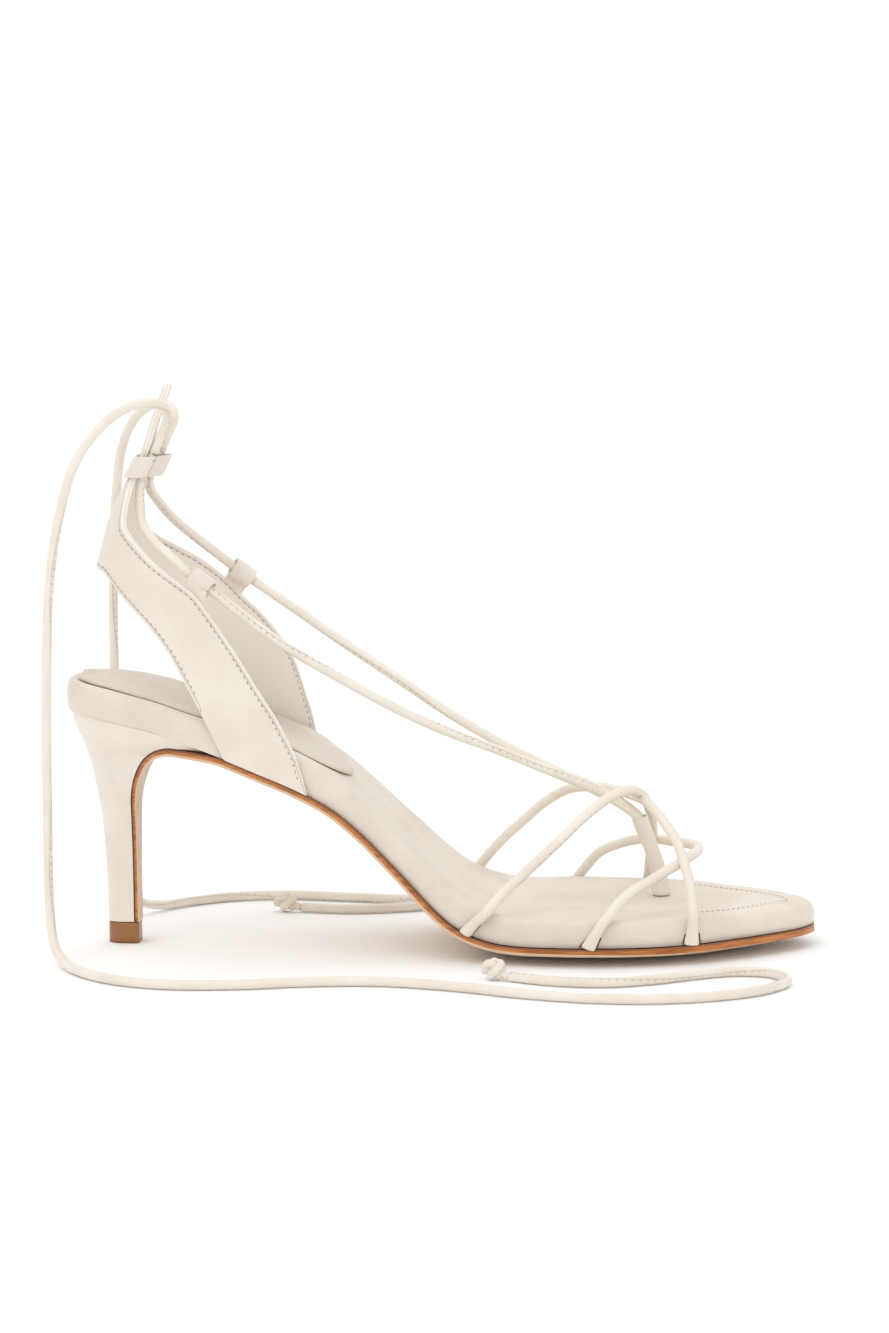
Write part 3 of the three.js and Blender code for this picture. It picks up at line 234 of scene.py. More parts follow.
def read_line(line: Array, share: Array) -> Array:
    """Reads an evenly spaced line at shares of the way along it."""
    return np.stack([np.interp(share, np.linspace(0, 1, len(line)), c) for c in line.T], axis=-1)


def strip_section(length: float, wall: float, soft: float) -> tuple[Array, Array]:
    """Works out a flat strip's section, its corners quarter circles.

    Args:
        length: the strip's length.
        wall: its thickness.
        soft: the corners' radius.

    Returns:
        The section's places along the strip, from its middle, and out from its inner face.
    """
    edge = np.linspace(0, np.pi / 2, 4)
    run = length / 2 - soft * (1 - np.sin(edge))
    out = wall - soft * (1 - np.cos(edge))
    out = np.concatenate([out[::-1], out])
    return (np.concatenate([-run[::-1], run, run[::-1], -run]),
            np.concatenate([out, wall - out]))


def carried_frames(line: Array, facing: Array) -> tuple[Array, Array, Array]:
    """Carries a sideways direction along a line with no twist.

    Each station keeps the last one's direction, less the part of it that runs along the line.

    Args:
        line: (n, 3) points.
        facing: the direction at the first point.

    Returns:
        The line's directions, the carried ones, and those across both.
    """
    ahead = tangents(line)
    carried = np.empty_like(ahead)
    last = np.asarray(facing, float)
    for i, along in enumerate(ahead):
        last = last - along * (last @ along)
        last = last / np.linalg.norm(last)
        carried[i] = last
    return ahead, carried, np.cross(ahead, carried)


@dataclass
class Skin:
    """A surface as arrays: points in millimetres, faces, and values that shaders read."""

    points: Array
    faces: list[Array]
    values: dict[str, Array] = field(default_factory=dict)

    @staticmethod
    def lofted(rings: Array, cap: Cap | None, values: dict[str, Array] | None = None) -> "Skin":
        """Joins closed rings of equally many points by quads.

        Args:
            rings: (r, c, 3) points, ring by ring.
            cap: how both ends are closed, or None where the last ring joins the first.
            values: arrays of shape (r, c) or (r, c, 3), a value for each point.

        Returns:
            The closed skin, with its faces pointing outwards.
        """
        count, around = rings.shape[:2]
        number = np.arange(count * around).reshape(count, around)
        if cap is None:
            number = np.vstack([number, number[:1]])
        after = np.roll(number, -1, axis=1)
        faces = [np.stack([number[:-1], after[:-1], after[1:], number[1:]], axis=-1).reshape(-1, 4)]
        points = rings.reshape(-1, 3)
        stored = {k: v.reshape(count * around, -1) for k, v in (values or {}).items()}
        if cap is Cap.FAN:
            points = np.vstack([points, rings[0].mean(axis=0), rings[-1].mean(axis=0)])
            first = np.full(around, len(points) - 2)
            faces += [np.stack([first, after[0], number[0]], axis=-1),
                      np.stack([first + 1, number[-1], after[-1]], axis=-1)]
            stored = {k: np.vstack([v, v[:1], v[-1:]]) for k, v in stored.items()}
        elif cap:
            across = Skin._across(around, cap)
            faces += across + [block[:, ::-1] + (count - 1) * around for block in across]
        return Skin(points, faces, stored).outward()

    @staticmethod
    def _across(around: int, cap: Cap) -> list[Array]:
        """Lays faces across a ring, between the points that face each other.

        Args:
            around: points in the ring.
            cap: a ladder or a spindle. An odd ladder ends in a triangle, a spindle in two.

        Returns:
            The faces, by the numbers of the ring's points.
        """
        half, first = around // 2, int(cap is Cap.SPINDLE)
        left = np.arange(first, half)
        right = around - 1 + first - left
        faces = [np.stack([left[:-1], right[:-1], right[1:], left[1:]], axis=-1)]
        if first:
            faces.append(np.array([[0, around - 1, 1], [half, half - 1, half + 1]]))
        elif around % 2:
            faces.append(np.array([[half - 1, half + 1, half]]))
        return faces

    @staticmethod
    def joined(skins: list["Skin"]) -> "Skin":
        """Returns several skins as one, their bodies kept apart."""
        starts = np.cumsum([0] + [len(skin.points) for skin in skins])
        faces = [block + start for skin, start in zip(skins, starts) for block in skin.faces]
        values = {k: np.vstack([skin.values[k] for skin in skins]) for k in skins[0].values}
        return Skin(np.vstack([skin.points for skin in skins]), faces, values)

    def outward(self) -> "Skin":
        """Turns the faces round where the volume, the sum of corners' triple products, is negative."""
        volume = 0.0
        for block in self.faces:
            corner = self.points[block]
            for i in range(1, block.shape[1] - 1):
                volume += np.einsum("ij,ij->", corner[:, 0],
                                    np.cross(corner[:, i], corner[:, i + 1]))
        if volume < 0:
            self.faces = [block[:, ::-1] for block in self.faces]
        return self

    def to_object(self, name: str, crease: float = 40.0) -> Object:
        """Makes the skin an object of the scene.

        Args:
            name: the object's name.
            crease: the angle in degrees past which an edge is drawn sharp.

        Returns:
            The object, at the origin, with its place in its mesh.
        """
        name = name + "_skin"
        mesh = bpy.data.meshes.new(name)
        points = self.points * METRES + maker_shift()
        mesh.from_pydata(points.tolist(), [], [f for block in self.faces for f in block.tolist()])
        for key, value in self.values.items():
            kind = "FLOAT_VECTOR" if value.shape[1] == 3 else "FLOAT"
            layer = mesh.attributes.new(key, kind, "POINT")
            layer.data.foreach_set("vector" if value.shape[1] == 3 else "value",
                                   value.astype(np.float32).ravel())
        mesh.shade_smooth()
        mesh.set_sharp_from_angle(angle=math.radians(crease))
        piece = bpy.data.objects.new(name, mesh)
        bpy.context.scene.collection.objects.link(piece)
        return piece


def maker_shift() -> Array:
    """Returns the row frame's shift in metres, read off the top piece's back edge and middle."""
    low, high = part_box("top_piece")
    back = HEEL.column("back")[0] * SHAPE.foot_length * METRES
    return np.array([low[0] - back, (low[1] + high[1]) / 2, low[2]])


@dataclass(frozen=True)
class SoleShape:
    """The shape that the sole, the bed and the heel share: an outline and a side profile."""

    foot_length: float = 238.0
    ball_width: float = 78.5
    heel_rise: float = 74.5
    toe_spring: float = 4.3
    outsole_thickness: float = 2.5
    tread_crown: float = 3.7
    bed_depth: float = 8.2
    bed_dish: float = 1.0
    bed_tuck: float = 0.6
    clearance: float = 0.3
    flat_share: float = 0.35
    crown_power: float = 1.8
    spine_end: float = 9.0
    rim_inset: float = 2.4
    seat_share: float = 0.189
    wing_depth: float = 3.8
    wing_front: float = 52.0
    breast_along: float = 20.8
    bend_length: float = 14.5
    bend_height: float = 22.0
    flap_thickness: float = 1.6
    top_piece_height: float = 6.8

    def outline_at(self, number: Array) -> tuple[Array, Array, Array]:
        """Reads the plan outline by row number.

        It is a Catmull-Rom curve over the rows, which mirror at heel and toe so that it closes
        round there.

        Args:
            number: row numbers, whole or between.

        Returns:
            The distance along, and the half widths to the outer and the inner side.
        """
        along, outer, inner = (OUTLINE.column(n) for n in ("along", "outer", "inner"))
        i = np.minimum(np.floor(number).astype(int), len(along) - 2)
        t = number - i

        def blend(first: float, rows: Array, last: float) -> Array:
            """Blends four neighbouring rows by the Catmull-Rom cubic."""
            padded = np.concatenate([[first], rows, [last]])
            a, b, c, d = (padded[i + k] for k in range(4))
            return b + 0.5 * t * (c - a + t * (2 * a - 5 * b + 4 * c - d
                                               + t * (3 * (b - c) + d - a)))

        return (blend(along[1], along, along[-2]) * self.foot_length,
                blend(-inner[1], outer, -inner[-2]) * self.ball_width,
                blend(-outer[1], inner, -outer[-2]) * self.ball_width)

    @cached_property
    def samples(self) -> tuple[Array, Array, Array]:
        """The outline at sixteen places a row, between which it is read as straight."""
        last = len(OUTLINE.rows) - 1
        return self.outline_at(np.linspace(0, last, last * 16 + 1))

    def half_width(self, side: Array, along: Array) -> Array:
        """Returns the half width on a side, minus for the outer one, at places along."""
        far, outer, inner = self.samples
        along = np.clip(along, 0, self.foot_length)
        return np.where(np.asarray(side) < 0, np.interp(along, far, outer),
                        np.interp(along, far, inner))

    def profile(self, name: str, along: Array) -> Array:
        """Reads a column of the side profile."""
        return PROFILE.read(name, np.asarray(along) / self.foot_length)

    def bed_underside(self, along: Array) -> Array:
        """Returns the height of the bed's underside on its middle line."""
        return (self.outsole_thickness + self.clearance + self.profile("rise", along)
                * self.heel_rise + self.profile("spring", along) * self.toe_spring)

    def crown_lift(self, along: Array, share: Array) -> Array:
        """Returns how far the tread's crown lifts a share of the way out to the edge."""
        beyond = np.maximum(0, np.abs(share) - self.flat_share) / (1 - self.flat_share)
        return self.tread_crown * self.profile("crown", along) * beyond ** self.crown_power

    def bed_edge(self, along: Array) -> Array:
        """Returns the height of the bed's lower edge."""
        return self.bed_underside(along) + self.crown_lift(along, 1)

    def bed_rim(self, along: Array) -> Array:
        """Returns the height of the bed's upper rim."""
        return self.bed_edge(along) + self.profile("depth", along) * self.bed_depth

    def bed_top(self, along: Array, share: Array) -> Array:
        """Returns the height of the bed's dished top a share of the way out."""
        return self.bed_rim(along) - self.bed_dish * (1 - share * share)

    def bed_share(self, along: Array, share: Array) -> Array:
        """Returns the share of the way from the bed's middle line to its rim, round at the heel."""
        past = np.maximum(0, self.spine_end - along) / (self.spine_end - self.rim_inset)
        return np.minimum(1, np.hypot(share, past))

    @property
    def seat_place(self) -> float:
        """Where the heel seat is widest, along the shoe."""
        return self.seat_share * self.foot_length

    @property
    def seat_height(self) -> float:
        """The rim's height at the heel seat."""
        return float(self.bed_rim(self.seat_place))

    @property
    def bend_start(self) -> float:
        """Where the outsole begins to turn down the heel's breast."""
        return self.breast_along + self.bend_length

    def outsole_top(self, along: Array) -> Array:
        """Returns the height of the outsole's upper face, lower under the heel's wing."""
        under_wing = np.maximum(0, self.wing_front - np.asarray(along))
        share = np.minimum(1, under_wing / (self.wing_front - self.bend_start))
        return self.bed_underside(along) - self.clearance - self.wing_depth * share

    def heel_column(self, name: str, height: Array) -> Array:
        """Reads a column of the heel's table at a height."""
        return HEEL.read(name, np.asarray(height) / self.heel_rise)

    def seat_half(self, side: Array) -> Array:
        """Returns the heel seat's half width on a side."""
        return self.half_width(side, self.seat_place)

    def spine(self, along: Array) -> Array:
        """Returns the middle line's points at places along, kept off the heel and the toe."""
        x = np.clip(along, self.spine_end, self.foot_length - self.spine_end)
        return np.stack([x, (self.half_width(1, x) - self.half_width(-1, x)) / 2], axis=-1)

    @property
    def heel_foot(self) -> float:
        """The height at which the heel and the flap end, just over the top piece."""
        return self.top_piece_height + self.clearance

    def breast_bend(self, turn: Array) -> tuple[Array, Array]:
        """Returns the quarter ellipse round the heel's breast, by angles from its upper end."""
        return (self.bend_start - self.bend_length * np.sin(turn),
                self.outsole_top(self.bend_start) - self.bend_height * (1 - np.cos(turn)))


SHAPE = SoleShape()


def srgb(colour: Colour) -> tuple[float, float, float, float]:
    """Turns a colour as seen, in 0 to 255, into the linear one that shaders take."""
    share = np.array(colour) / 255
    linear = np.where(share <= 0.04045, share / 12.92, ((share + 0.055) / 1.055) ** 2.4)
    return (*linear.tolist(), 1.0)


class Tree:
    """A material's nodes, each joined to the ones before it as it is added."""

    def __init__(self, name: str) -> None:
        """Starts an empty material.

        Args:
            name: the material's name.
        """
        self.material = bpy.data.materials.new(name)
        self.material.use_nodes = True
        self.material.node_tree.nodes.clear()

    def add(self, kind: str, inputs: dict, output: str | int = 0, **settings: object
            ) -> Socket:
        """Adds one node.

        Args:
            kind: the node's type, without its ShaderNode prefix.
            inputs: values or sockets by the input's name or number.
            output: the output that is handed back.
            **settings: the node's own settings.

        Returns:
            The output socket.
        """
        node = self.material.node_tree.nodes.new("ShaderNode" + kind)
        for key, value in settings.items():
            setattr(node, key, value)
        for key, value in inputs.items():
            socket = node.inputs[key]
            if isinstance(value, Socket):
                self.material.node_tree.links.new(value, socket)
            else:
                socket.default_value = value
        return node.outputs[output] if node.outputs else node.inputs[0]

    def math(self, operation: str, *values: object) -> Socket:
        """Adds a Math node on values or sockets and returns its result."""
        return self.add("Math", dict(enumerate(values)), operation=operation)

    def times(self, first: object, second: object) -> Socket:
        """Returns the product of two values or sockets."""
        return self.math("MULTIPLY", first, second)

    def apart(self, value: object, middle: float) -> Socket:
        """Returns how far a value is from a middle one, either way."""
        return self.math("ABSOLUTE", self.math("SUBTRACT", value, middle))

    def place(self) -> Socket:
        """Returns the piece's own coordinates, in metres."""
        return self.add("TexCoord", {}, "Object")

    def value(self, name: str) -> Socket:
        """Returns a value that the mesh stores at its points."""
        return self.add("Attribute", {}, "Fac", attribute_name=name)

    def vector(self, name: str) -> tuple[Socket, ...]:
        """Returns the three parts of a vector that the mesh stores at its points."""
        whole = self.add("Attribute", {}, "Vector", attribute_name=name)
        node = self.material.node_tree.nodes.new("ShaderNodeSeparateXYZ")
        self.material.node_tree.links.new(whole, node.inputs[0])
        return tuple(node.outputs)

    def noise(self, size: float, detail: float = 2.0) -> Socket:
        """Returns cloudy noise whose features are about size metres wide."""
        return self.add("TexNoise", {"Vector": self.place(), "Scale": 1 / size,
                                     "Detail": detail, "Roughness": 0.55}, "Fac")

    def pebbles(self, size: float) -> Socket:
        """Returns the distance from the middle of the grain's cells, size metres wide."""
        return self.add("TexVoronoi", {"Vector": self.place(), "Scale": 1 / size,
                                       "Randomness": 0.9}, "Distance",
                        feature="SMOOTH_F1")

    def step(self, value: object, low: float, high: float, first: float = 0.0,
             last: float = 1.0) -> Socket:
        """Returns first below low and last above high, with a smooth step between."""
        return self.add("MapRange", {"Value": value, "From Min": low, "From Max": high,
                                     "To Min": first, "To Max": last},
                        interpolation_type="SMOOTHSTEP")

    def fade(self, value: object, low: float, high: float) -> Socket:
        """Returns one below low and zero above high, with a smooth step between."""
        return self.step(value, low, high, 1.0, 0.0)

    def mix(self, share: object, first: object, second: object) -> Socket:
        """Returns the mix of two colours, each as seen or as a socket."""
        first, second = (srgb(c) if isinstance(c, tuple) else c for c in (first, second))
        return self.add("Mix", {0: share, 6: first, 7: second}, 2, data_type="RGBA")

    def surface(self, colour: object, roughness: object, bump: object, depth: float,
                **constants: float) -> Material:
        """Ends the tree with a bumped surface.

        Args:
            colour: the base colour, a value or a socket.
            roughness: the roughness, a value or a socket.
            bump: the height that bumps it, in shares of depth.
            depth: the bump's depth in metres.
            **constants: other inputs of the surface, their spaces as underlines.

        Returns:
            The finished material.
        """
        normal = self.add("Bump", {"Height": bump, "Distance": depth, "Strength": 1.0})
        shader = self.add("BsdfPrincipled", {
            "Base Color": colour, "Roughness": roughness, "Normal": normal,
            **{key.replace("_", " "): value for key, value in constants.items()}}, "BSDF")
        self.add("OutputMaterial", {"Surface": shader})
        return self.material


@dataclass(frozen=True)
class CreamLeather:
    """Smooth painted leather: fine pebbled grain, faint blotches and drawn-out creases."""

    name: str = "cream_leather"
    colour: Colour = (237, 229, 217)
    shade: Colour = (229, 219, 205)
    grain: float = 0.0007
    depth: float = 0.00007
    roughness: float = 0.5

    def skin_height(self, tree: Tree) -> Socket:
        """Returns the leather's height: pebbles of the grain over broader, softer waves."""
        pebble = tree.pebbles(self.grain)
        wave = tree.noise(self.grain * 9, 3)
        return tree.math("MULTIPLY_ADD", wave, 0.8, pebble)

    def skin_colour(self, tree: Tree) -> Socket:
        """Returns the leather's colour: its shade in broad blotches and in the grain's pits."""
        blotch = tree.noise(0.018, 4)
        pit = tree.step(tree.noise(self.grain * 1.3, 1), 0.62, 0.75)
        share = tree.math("MULTIPLY_ADD", pit, 0.25, tree.step(blotch, 0.35, 0.7))
        return tree.mix(share, self.colour, self.shade)

    def skin_roughness(self, tree: Tree) -> Socket:
        """Returns the roughness, which varies a little with handling."""
        return tree.step(tree.noise(0.011, 2), 0.3, 0.7, self.roughness - 0.06,
                         self.roughness + 0.07)

    def finish(self, tree: Tree, colour: object, mark: object = 0.0, pressed: float = 0.0,
               sheen: float = 0.12, gloss: float = 0.4) -> Material:
        """Ends a tree as this leather, pressed in where it is marked.

        Args:
            tree: the material's nodes.
            colour: the colour, marks and all.
            mark: a socket that is 1 on a mark and 0 elsewhere.
            pressed: the marks' depth, in depths of the grain.
            sheen: the weight of the sheen.
            gloss: the level of the mirror light.

        Returns:
            The finished material.
        """
        height = tree.math("SUBTRACT", self.skin_height(tree), tree.times(mark, pressed))
        return tree.surface(colour, self.skin_roughness(tree), height, self.depth,
                            Sheen_Weight=sheen, Sheen_Roughness=0.4, Specular_IOR_Level=gloss)

    def material(self) -> Material:
        """Makes the leather's material."""
        tree = Tree(self.name)
        return self.finish(tree, self.skin_colour(tree))


@dataclass(frozen=True)
class BedLeather(CreamLeather):
    """The bed's leather, faintly pressed in where it is sewn round the toe."""

    name: str = "bed_leather"
    colour: Colour = (228, 218, 205)
    shade: Colour = (219, 208, 194)
    roughness: float = 0.52
    seam: Colour = (176, 160, 142)
    seam_at: float = 8.6
    seam_start: float = 199.0

    def material(self) -> Material:
        """Makes the material, which reads how far inside the rim and how far along a point is."""
        tree = Tree(self.name)
        inside, along, _ = tree.vector("inside")
        sewn = tree.times(tree.fade(tree.apart(inside, self.seam_at), 0.1, 0.36),
                          tree.step(along, self.seam_start, self.seam_start + 3))
        colour = tree.mix(tree.times(sewn, 0.16), self.skin_colour(tree), self.seam)
        return self.finish(tree, colour, sewn, 1.6)


@dataclass(frozen=True)
class KeeperLeather(CreamLeather):
    """A keeper's leather, its strip lapped and sewn: a seam line, and one needle hole by it."""

    name: str = "keeper_leather"
    colour: Colour = (231, 222, 211)
    shade: Colour = (224, 213, 201)
    lapped: Colour = (229, 214, 201)
    seam: Colour = (172, 152, 132)
    grain: float = 0.0005
    lap_at: float = 0.61
    hole_at: tuple[float, float] = (0.58, 0.8)
    holes_across: float = 13.0
    holes_up: float = 7.5

    def material(self) -> Material:
        """Makes the material, which reads the shares of the way along and up the keeper."""
        tree = Tree(self.name)
        past, rise, outer = tree.vector("lap")
        beyond = tree.times(tree.step(past, self.lap_at, self.lap_at + 0.02), outer)
        line = tree.times(tree.fade(tree.apart(past, self.lap_at), 0.004, 0.02), outer)
        across = tree.times(tree.apart(past, self.hole_at[0]), self.holes_across)
        up = tree.times(tree.apart(rise, self.hole_at[1]), self.holes_up)
        reach = tree.math("MULTIPLY_ADD", across, across, tree.times(up, up))
        hole = tree.times(tree.fade(reach, 0.02, 0.14), outer)
        mark = tree.math("MAXIMUM", tree.times(line, 0.45), hole)
        face = tree.mix(tree.times(beyond, 0.6), self.skin_colour(tree), self.lapped)
        return self.finish(tree, tree.mix(mark, face, self.seam), mark, 4.0)


@dataclass(frozen=True)
class RolledLeather(CreamLeather):
    """Leather rolled into a cord: a fine seam along it, and pinholes where it was sewn."""

    name: str = "rolled_leather"
    grain: float = 0.0005
    depth: float = 0.00005
    roughness: float = 0.46
    radius: float = 0.0016
    pitch: float = 0.0024
    hole: float = 0.0002
    dark: Colour = (176, 160, 140)

    def material(self) -> Material:
        """Makes the cord's material, whose holes sit in a row along the seam.

        A hole's mask is the distance from its middle, taken along the cord modulo the pitch and
        round it as the radius times the sine of the turn, on the seam's half alone.
        """
        tree = Tree(self.name)
        along, front, across = tree.vector("lay")
        past = tree.math("PINGPONG", along, self.pitch / 2)
        lateral = tree.times(across, self.radius)
        reach = tree.math("SQRT", tree.math("MULTIPLY_ADD", past, past,
                                            tree.times(lateral, lateral)))
        on_seam = tree.step(front, 0.0, 0.3)
        hole = tree.times(tree.fade(reach, self.hole * 0.5, self.hole * 1.5), on_seam)
        line = tree.fade(tree.apart(lateral, self.radius * 0.3), 0.00004, 0.00013)
        mark = tree.math("MAXIMUM", hole, tree.times(tree.times(line, on_seam), 0.5))
        fade = tree.step(tree.noise(0.007, 2), 0.4, 0.6, 0.25, 0.8)
        colour = tree.mix(tree.times(fade, mark), self.skin_colour(tree), self.dark)
        return self.finish(tree, colour, mark, 5.0, 0.1, 0.45)


@dataclass(frozen=True)
class BandLeather(CreamLeather):
    """The band's two leathers: outer face, cut edge painted paler as a highlight with the glued seam
    between its layers, darker lining, and painted shade in the stitch grooves.
    """

    name: str = "band_leather"
    colour: Colour = (234, 225, 213)
    shade: Colour = (226, 216, 204)
    lining: Colour = (240, 233, 224)
    # the cut edge's colour, painted paler than the face as a highlight
    edge: Colour = (245, 239, 229)
    # the colour of the glued seam in the cut edge, also painted into the stitch grooves as shade
    glue_and_groove_shade: Colour = (192, 178, 160)
    groove_at: float = 1.4
    groove_half: float = 0.45

    def material(self) -> Material:
        """Makes the material, which reads how deep in the wall and how near an edge a point is."""
        tree = Tree(self.name)
        layer, near = tree.value("layer"), tree.value("edge")
        in_wall = tree.times(tree.step(layer, 0.02, 0.09), tree.fade(layer, 0.91, 0.98))
        glued = tree.fade(tree.apart(layer, 0.52), 0.02, 0.07)
        # painted shade: the stitch groove is darkened towards the glued seam's colour, and pressed in
        groove = tree.fade(tree.apart(near, self.groove_at), 0.05, self.groove_half)
        face = tree.mix(tree.step(layer, 0.45, 0.6), self.skin_colour(tree), self.lining)
        face = tree.mix(tree.times(groove, 0.22), face, self.glue_and_groove_shade)
        # the cut edge in its painted-highlight colour, with the glued seam along the wall's middle
        cut = tree.mix(tree.times(glued, 0.8), self.edge, self.glue_and_groove_shade)
        return self.finish(tree, tree.mix(in_wall, face, cut), groove, 3.0)


@dataclass(frozen=True)
class SoleLeather:
    """Vegetable tanned sole leather: burnished brown edge, thin dark top line, pale underside."""

    name: str = "sole_leather"
    edge: Colour = (199, 124, 55)
    deep: Colour = (160, 88, 32)
    top_line: Colour = (106, 62, 34)
    bevel: Colour = (220, 188, 156)
    underside: Colour = (216, 194, 168)
    fleck: Colour = (192, 166, 138)

    def material(self) -> Material:
        """Makes the material, which reads where round the sole's section a point is.

        The stored value runs from 0 at the top of the edge to 1 at its foot, and is 2 on the
        underside. The pale bevel takes the edge's foot, less of it towards the toe.
        """
        tree = Tree(self.name)
        zone = tree.value("zone")
        along = tree.add("SeparateXYZ", {0: tree.place()}, 0)
        streak = tree.add("Mapping", {"Vector": tree.place(), "Scale": (90, 90, 900)})
        fibre = tree.add("TexNoise", {"Vector": streak, "Scale": 1.0, "Detail": 3.0}, "Fac")
        wear = tree.noise(0.0016, 3)
        edge = tree.mix(tree.step(fibre, 0.38, 0.66), self.edge, self.deep)
        edge = tree.mix(tree.step(wear, 0.62, 0.74, 0.0, 0.5), edge, self.top_line)
        edge = tree.mix(tree.times(tree.fade(zone, 0.05, 0.16), 0.75), edge, self.top_line)
        start = tree.step(along, 0.03, 0.105, 0.62, 0.9)
        past = tree.math("SUBTRACT", tree.math("MULTIPLY_ADD", wear, 0.1, zone), start)
        edge = tree.mix(tree.step(past, 0.0, 0.1), edge, self.bevel)
        under = tree.mix(tree.step(tree.noise(0.004, 5), 0.4, 0.7), self.underside, self.fleck)
        below = tree.step(zone, 1.05, 1.3)
        colour = tree.mix(below, edge, under)
        roughness = tree.step(below, 0.0, 1.0, 0.32, 0.55)
        height = tree.math("MULTIPLY_ADD", fibre, 0.6, tree.noise(0.0006, 2))
        return tree.surface(colour, roughness, height, 0.00004, Specular_IOR_Level=0.5,
                            Coat_Weight=0.12, Coat_Roughness=0.3)


@dataclass(frozen=True)
class HeelRubber:
    """Moulded top piece: brown, half shiny, darker and duller in flecks and over its lowest edge by
    the floor.
    """

    name: str = "heel_rubber"
    colour: Colour = (152, 103, 60)
    darkening: Colour = (110, 72, 42)

    def material(self) -> Material:
        """Makes the material, darker in flecks and towards the floor."""
        tree = Tree(self.name)
        height = tree.add("SeparateXYZ", {0: tree.place()}, 2)
        darkening = tree.math("MAXIMUM", tree.fade(height, 0.0, 0.0016),
                         tree.step(tree.noise(0.0011, 3), 0.6, 0.75))
        colour = tree.mix(tree.times(darkening, 0.7), self.colour, self.darkening)
        return tree.surface(colour, tree.step(darkening, 0, 1, 0.3, 0.5), tree.noise(0.0004, 2),
                            0.00003, Specular_IOR_Level=0.5)


@dataclass(frozen=True)
class ShadedThread:
    """Twisted thread, its cream painted down to taupe as the shade of its stitch holes."""

    name: str = "sewing_thread"
    # painted shade: darker than the thread's own cream, for the stitch holes it lies in
    colour: Colour = (158, 143, 125)
    shade: Colour = (122, 108, 92)
    twist: float = 0.00022

    def material(self) -> Material:
        """Makes the material with the thread's slanting plies as a wave."""
        tree = Tree(self.name)
        ply = tree.add("TexWave", {"Vector": tree.place(), "Scale": 0.05 / self.twist,
                                   "Distortion": 1.5, "Detail": 1.0}, "Fac",
                       bands_direction="DIAGONAL")
        colour = tree.mix(ply, self.colour, self.shade)
        return tree.surface(colour, 0.75, ply, 0.00004, Sheen_Weight=0.3, Sheen_Roughness=0.5,
                            Specular_IOR_Level=0.25)


@dataclass(frozen=True)
class PaleGround:
    """The studio's plain pale floor."""

    name: str = "pale_ground"
    colour: Colour = (254, 254, 254)

    def material(self) -> Material:
        """Makes the floor's matte material, with the faintest unevenness."""
        tree = Tree(self.name)
        colour = tree.mix(tree.noise(0.3, 2), self.colour, (252, 252, 252))
        return tree.surface(colour, 0.9, tree.noise(0.002, 2), 0.00001, Specular_IOR_Level=0.1)


def wear(piece: Object, material: Material) -> None:
    """Gives a piece its one material."""
    piece.data.materials.clear()
    piece.data.materials.append(material)


def stand_for(piece: Object, node: str) -> None:
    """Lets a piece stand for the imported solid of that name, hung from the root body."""
    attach(piece, ROOT)
    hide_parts(node)


class Part:
    """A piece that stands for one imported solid, with what is sewn to it."""

    node = ""
    leather = CreamLeather()
    padding = 0.0

    def trimmings(self) -> list[tuple[Object, "ShadedThread"]]:
        """Makes what is sewn to the piece or drawn on it as painted shade, each with its material."""
        return []

    def dress(self, piece: Object) -> None:
        """Gives the piece its material and lets it stand for its solid, and gives its trimmings their
        materials.
        """
        wear(piece, self.leather.material())
        stand_for(piece, self.node)
        for trimming, thread in self.trimmings():
            wear(trimming, thread.material())
            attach(trimming, ROOT)
            self.node


def cord_skin(line: Array, radius: float, facing: Array, wander: float = 0.9,
              flare: float = 0.0, sides: int = 20) -> Skin:
    """Makes a round cord: a circle carried along a line, with softly rounded ends.

    The seam swings to and fro round the cord as a slow sine of the distance along it. Where the
    ends flare, the circle widens along the shoe and flattens across it over the last few
    millimetres, as one minus the smooth step of the distance from the end.

    Args:
        line: (n, 3) points of the cord's middle.
        radius: the cord's radius.
        facing: the direction in which its seam starts.
        wander: how far the seam swings, in radians.
        flare: how much wider the ends are, as a share of the radius.
        sides: points round the circle.

    Returns:
        The cord's skin, which stores the distance along it in metres and the turn from the seam.
    """
    ahead, seam, across = carried_frames(line, facing)
    turn = np.linspace(0, 2 * np.pi, sides, endpoint=False)
    circle = seam[:, None] * np.cos(turn)[:, None] + across[:, None] * np.sin(turn)[:, None]
    circle = circle[np.r_[0, 0, 0:len(line), -1, -1]]
    step_in, girth = CORD_END[:, :1] * radius, CORD_END[:, 1]
    middle = np.vstack([line[0] + ahead[0] * step_in, line[1:-1],
                        line[-1] - ahead[-1] * step_in[::-1]])
    radii = np.concatenate([girth, np.ones(len(line) - 2), girth[::-1]]) * radius
    far = distance_along(middle)
    spread = flare * (1 - smooth_step(np.minimum(far, far[-1] - far) / FOOT_LENGTH))
    stretch = np.stack([1 + spread, 1 - spread * 0.55, np.ones_like(spread)], axis=-1)
    rings = middle[:, None] + circle * radii[:, None, None] * stretch[:, None]
    swing = wander * np.sin(far / SEAM_SWING * 2 * np.pi + radius)[:, None]
    lay = np.stack([np.repeat(far[:, None] * METRES, sides, axis=1),
                    np.cos(turn - swing), np.sin(turn - swing)], axis=-1)
    return Skin.lofted(rings, Cap.FAN, {"lay": lay})


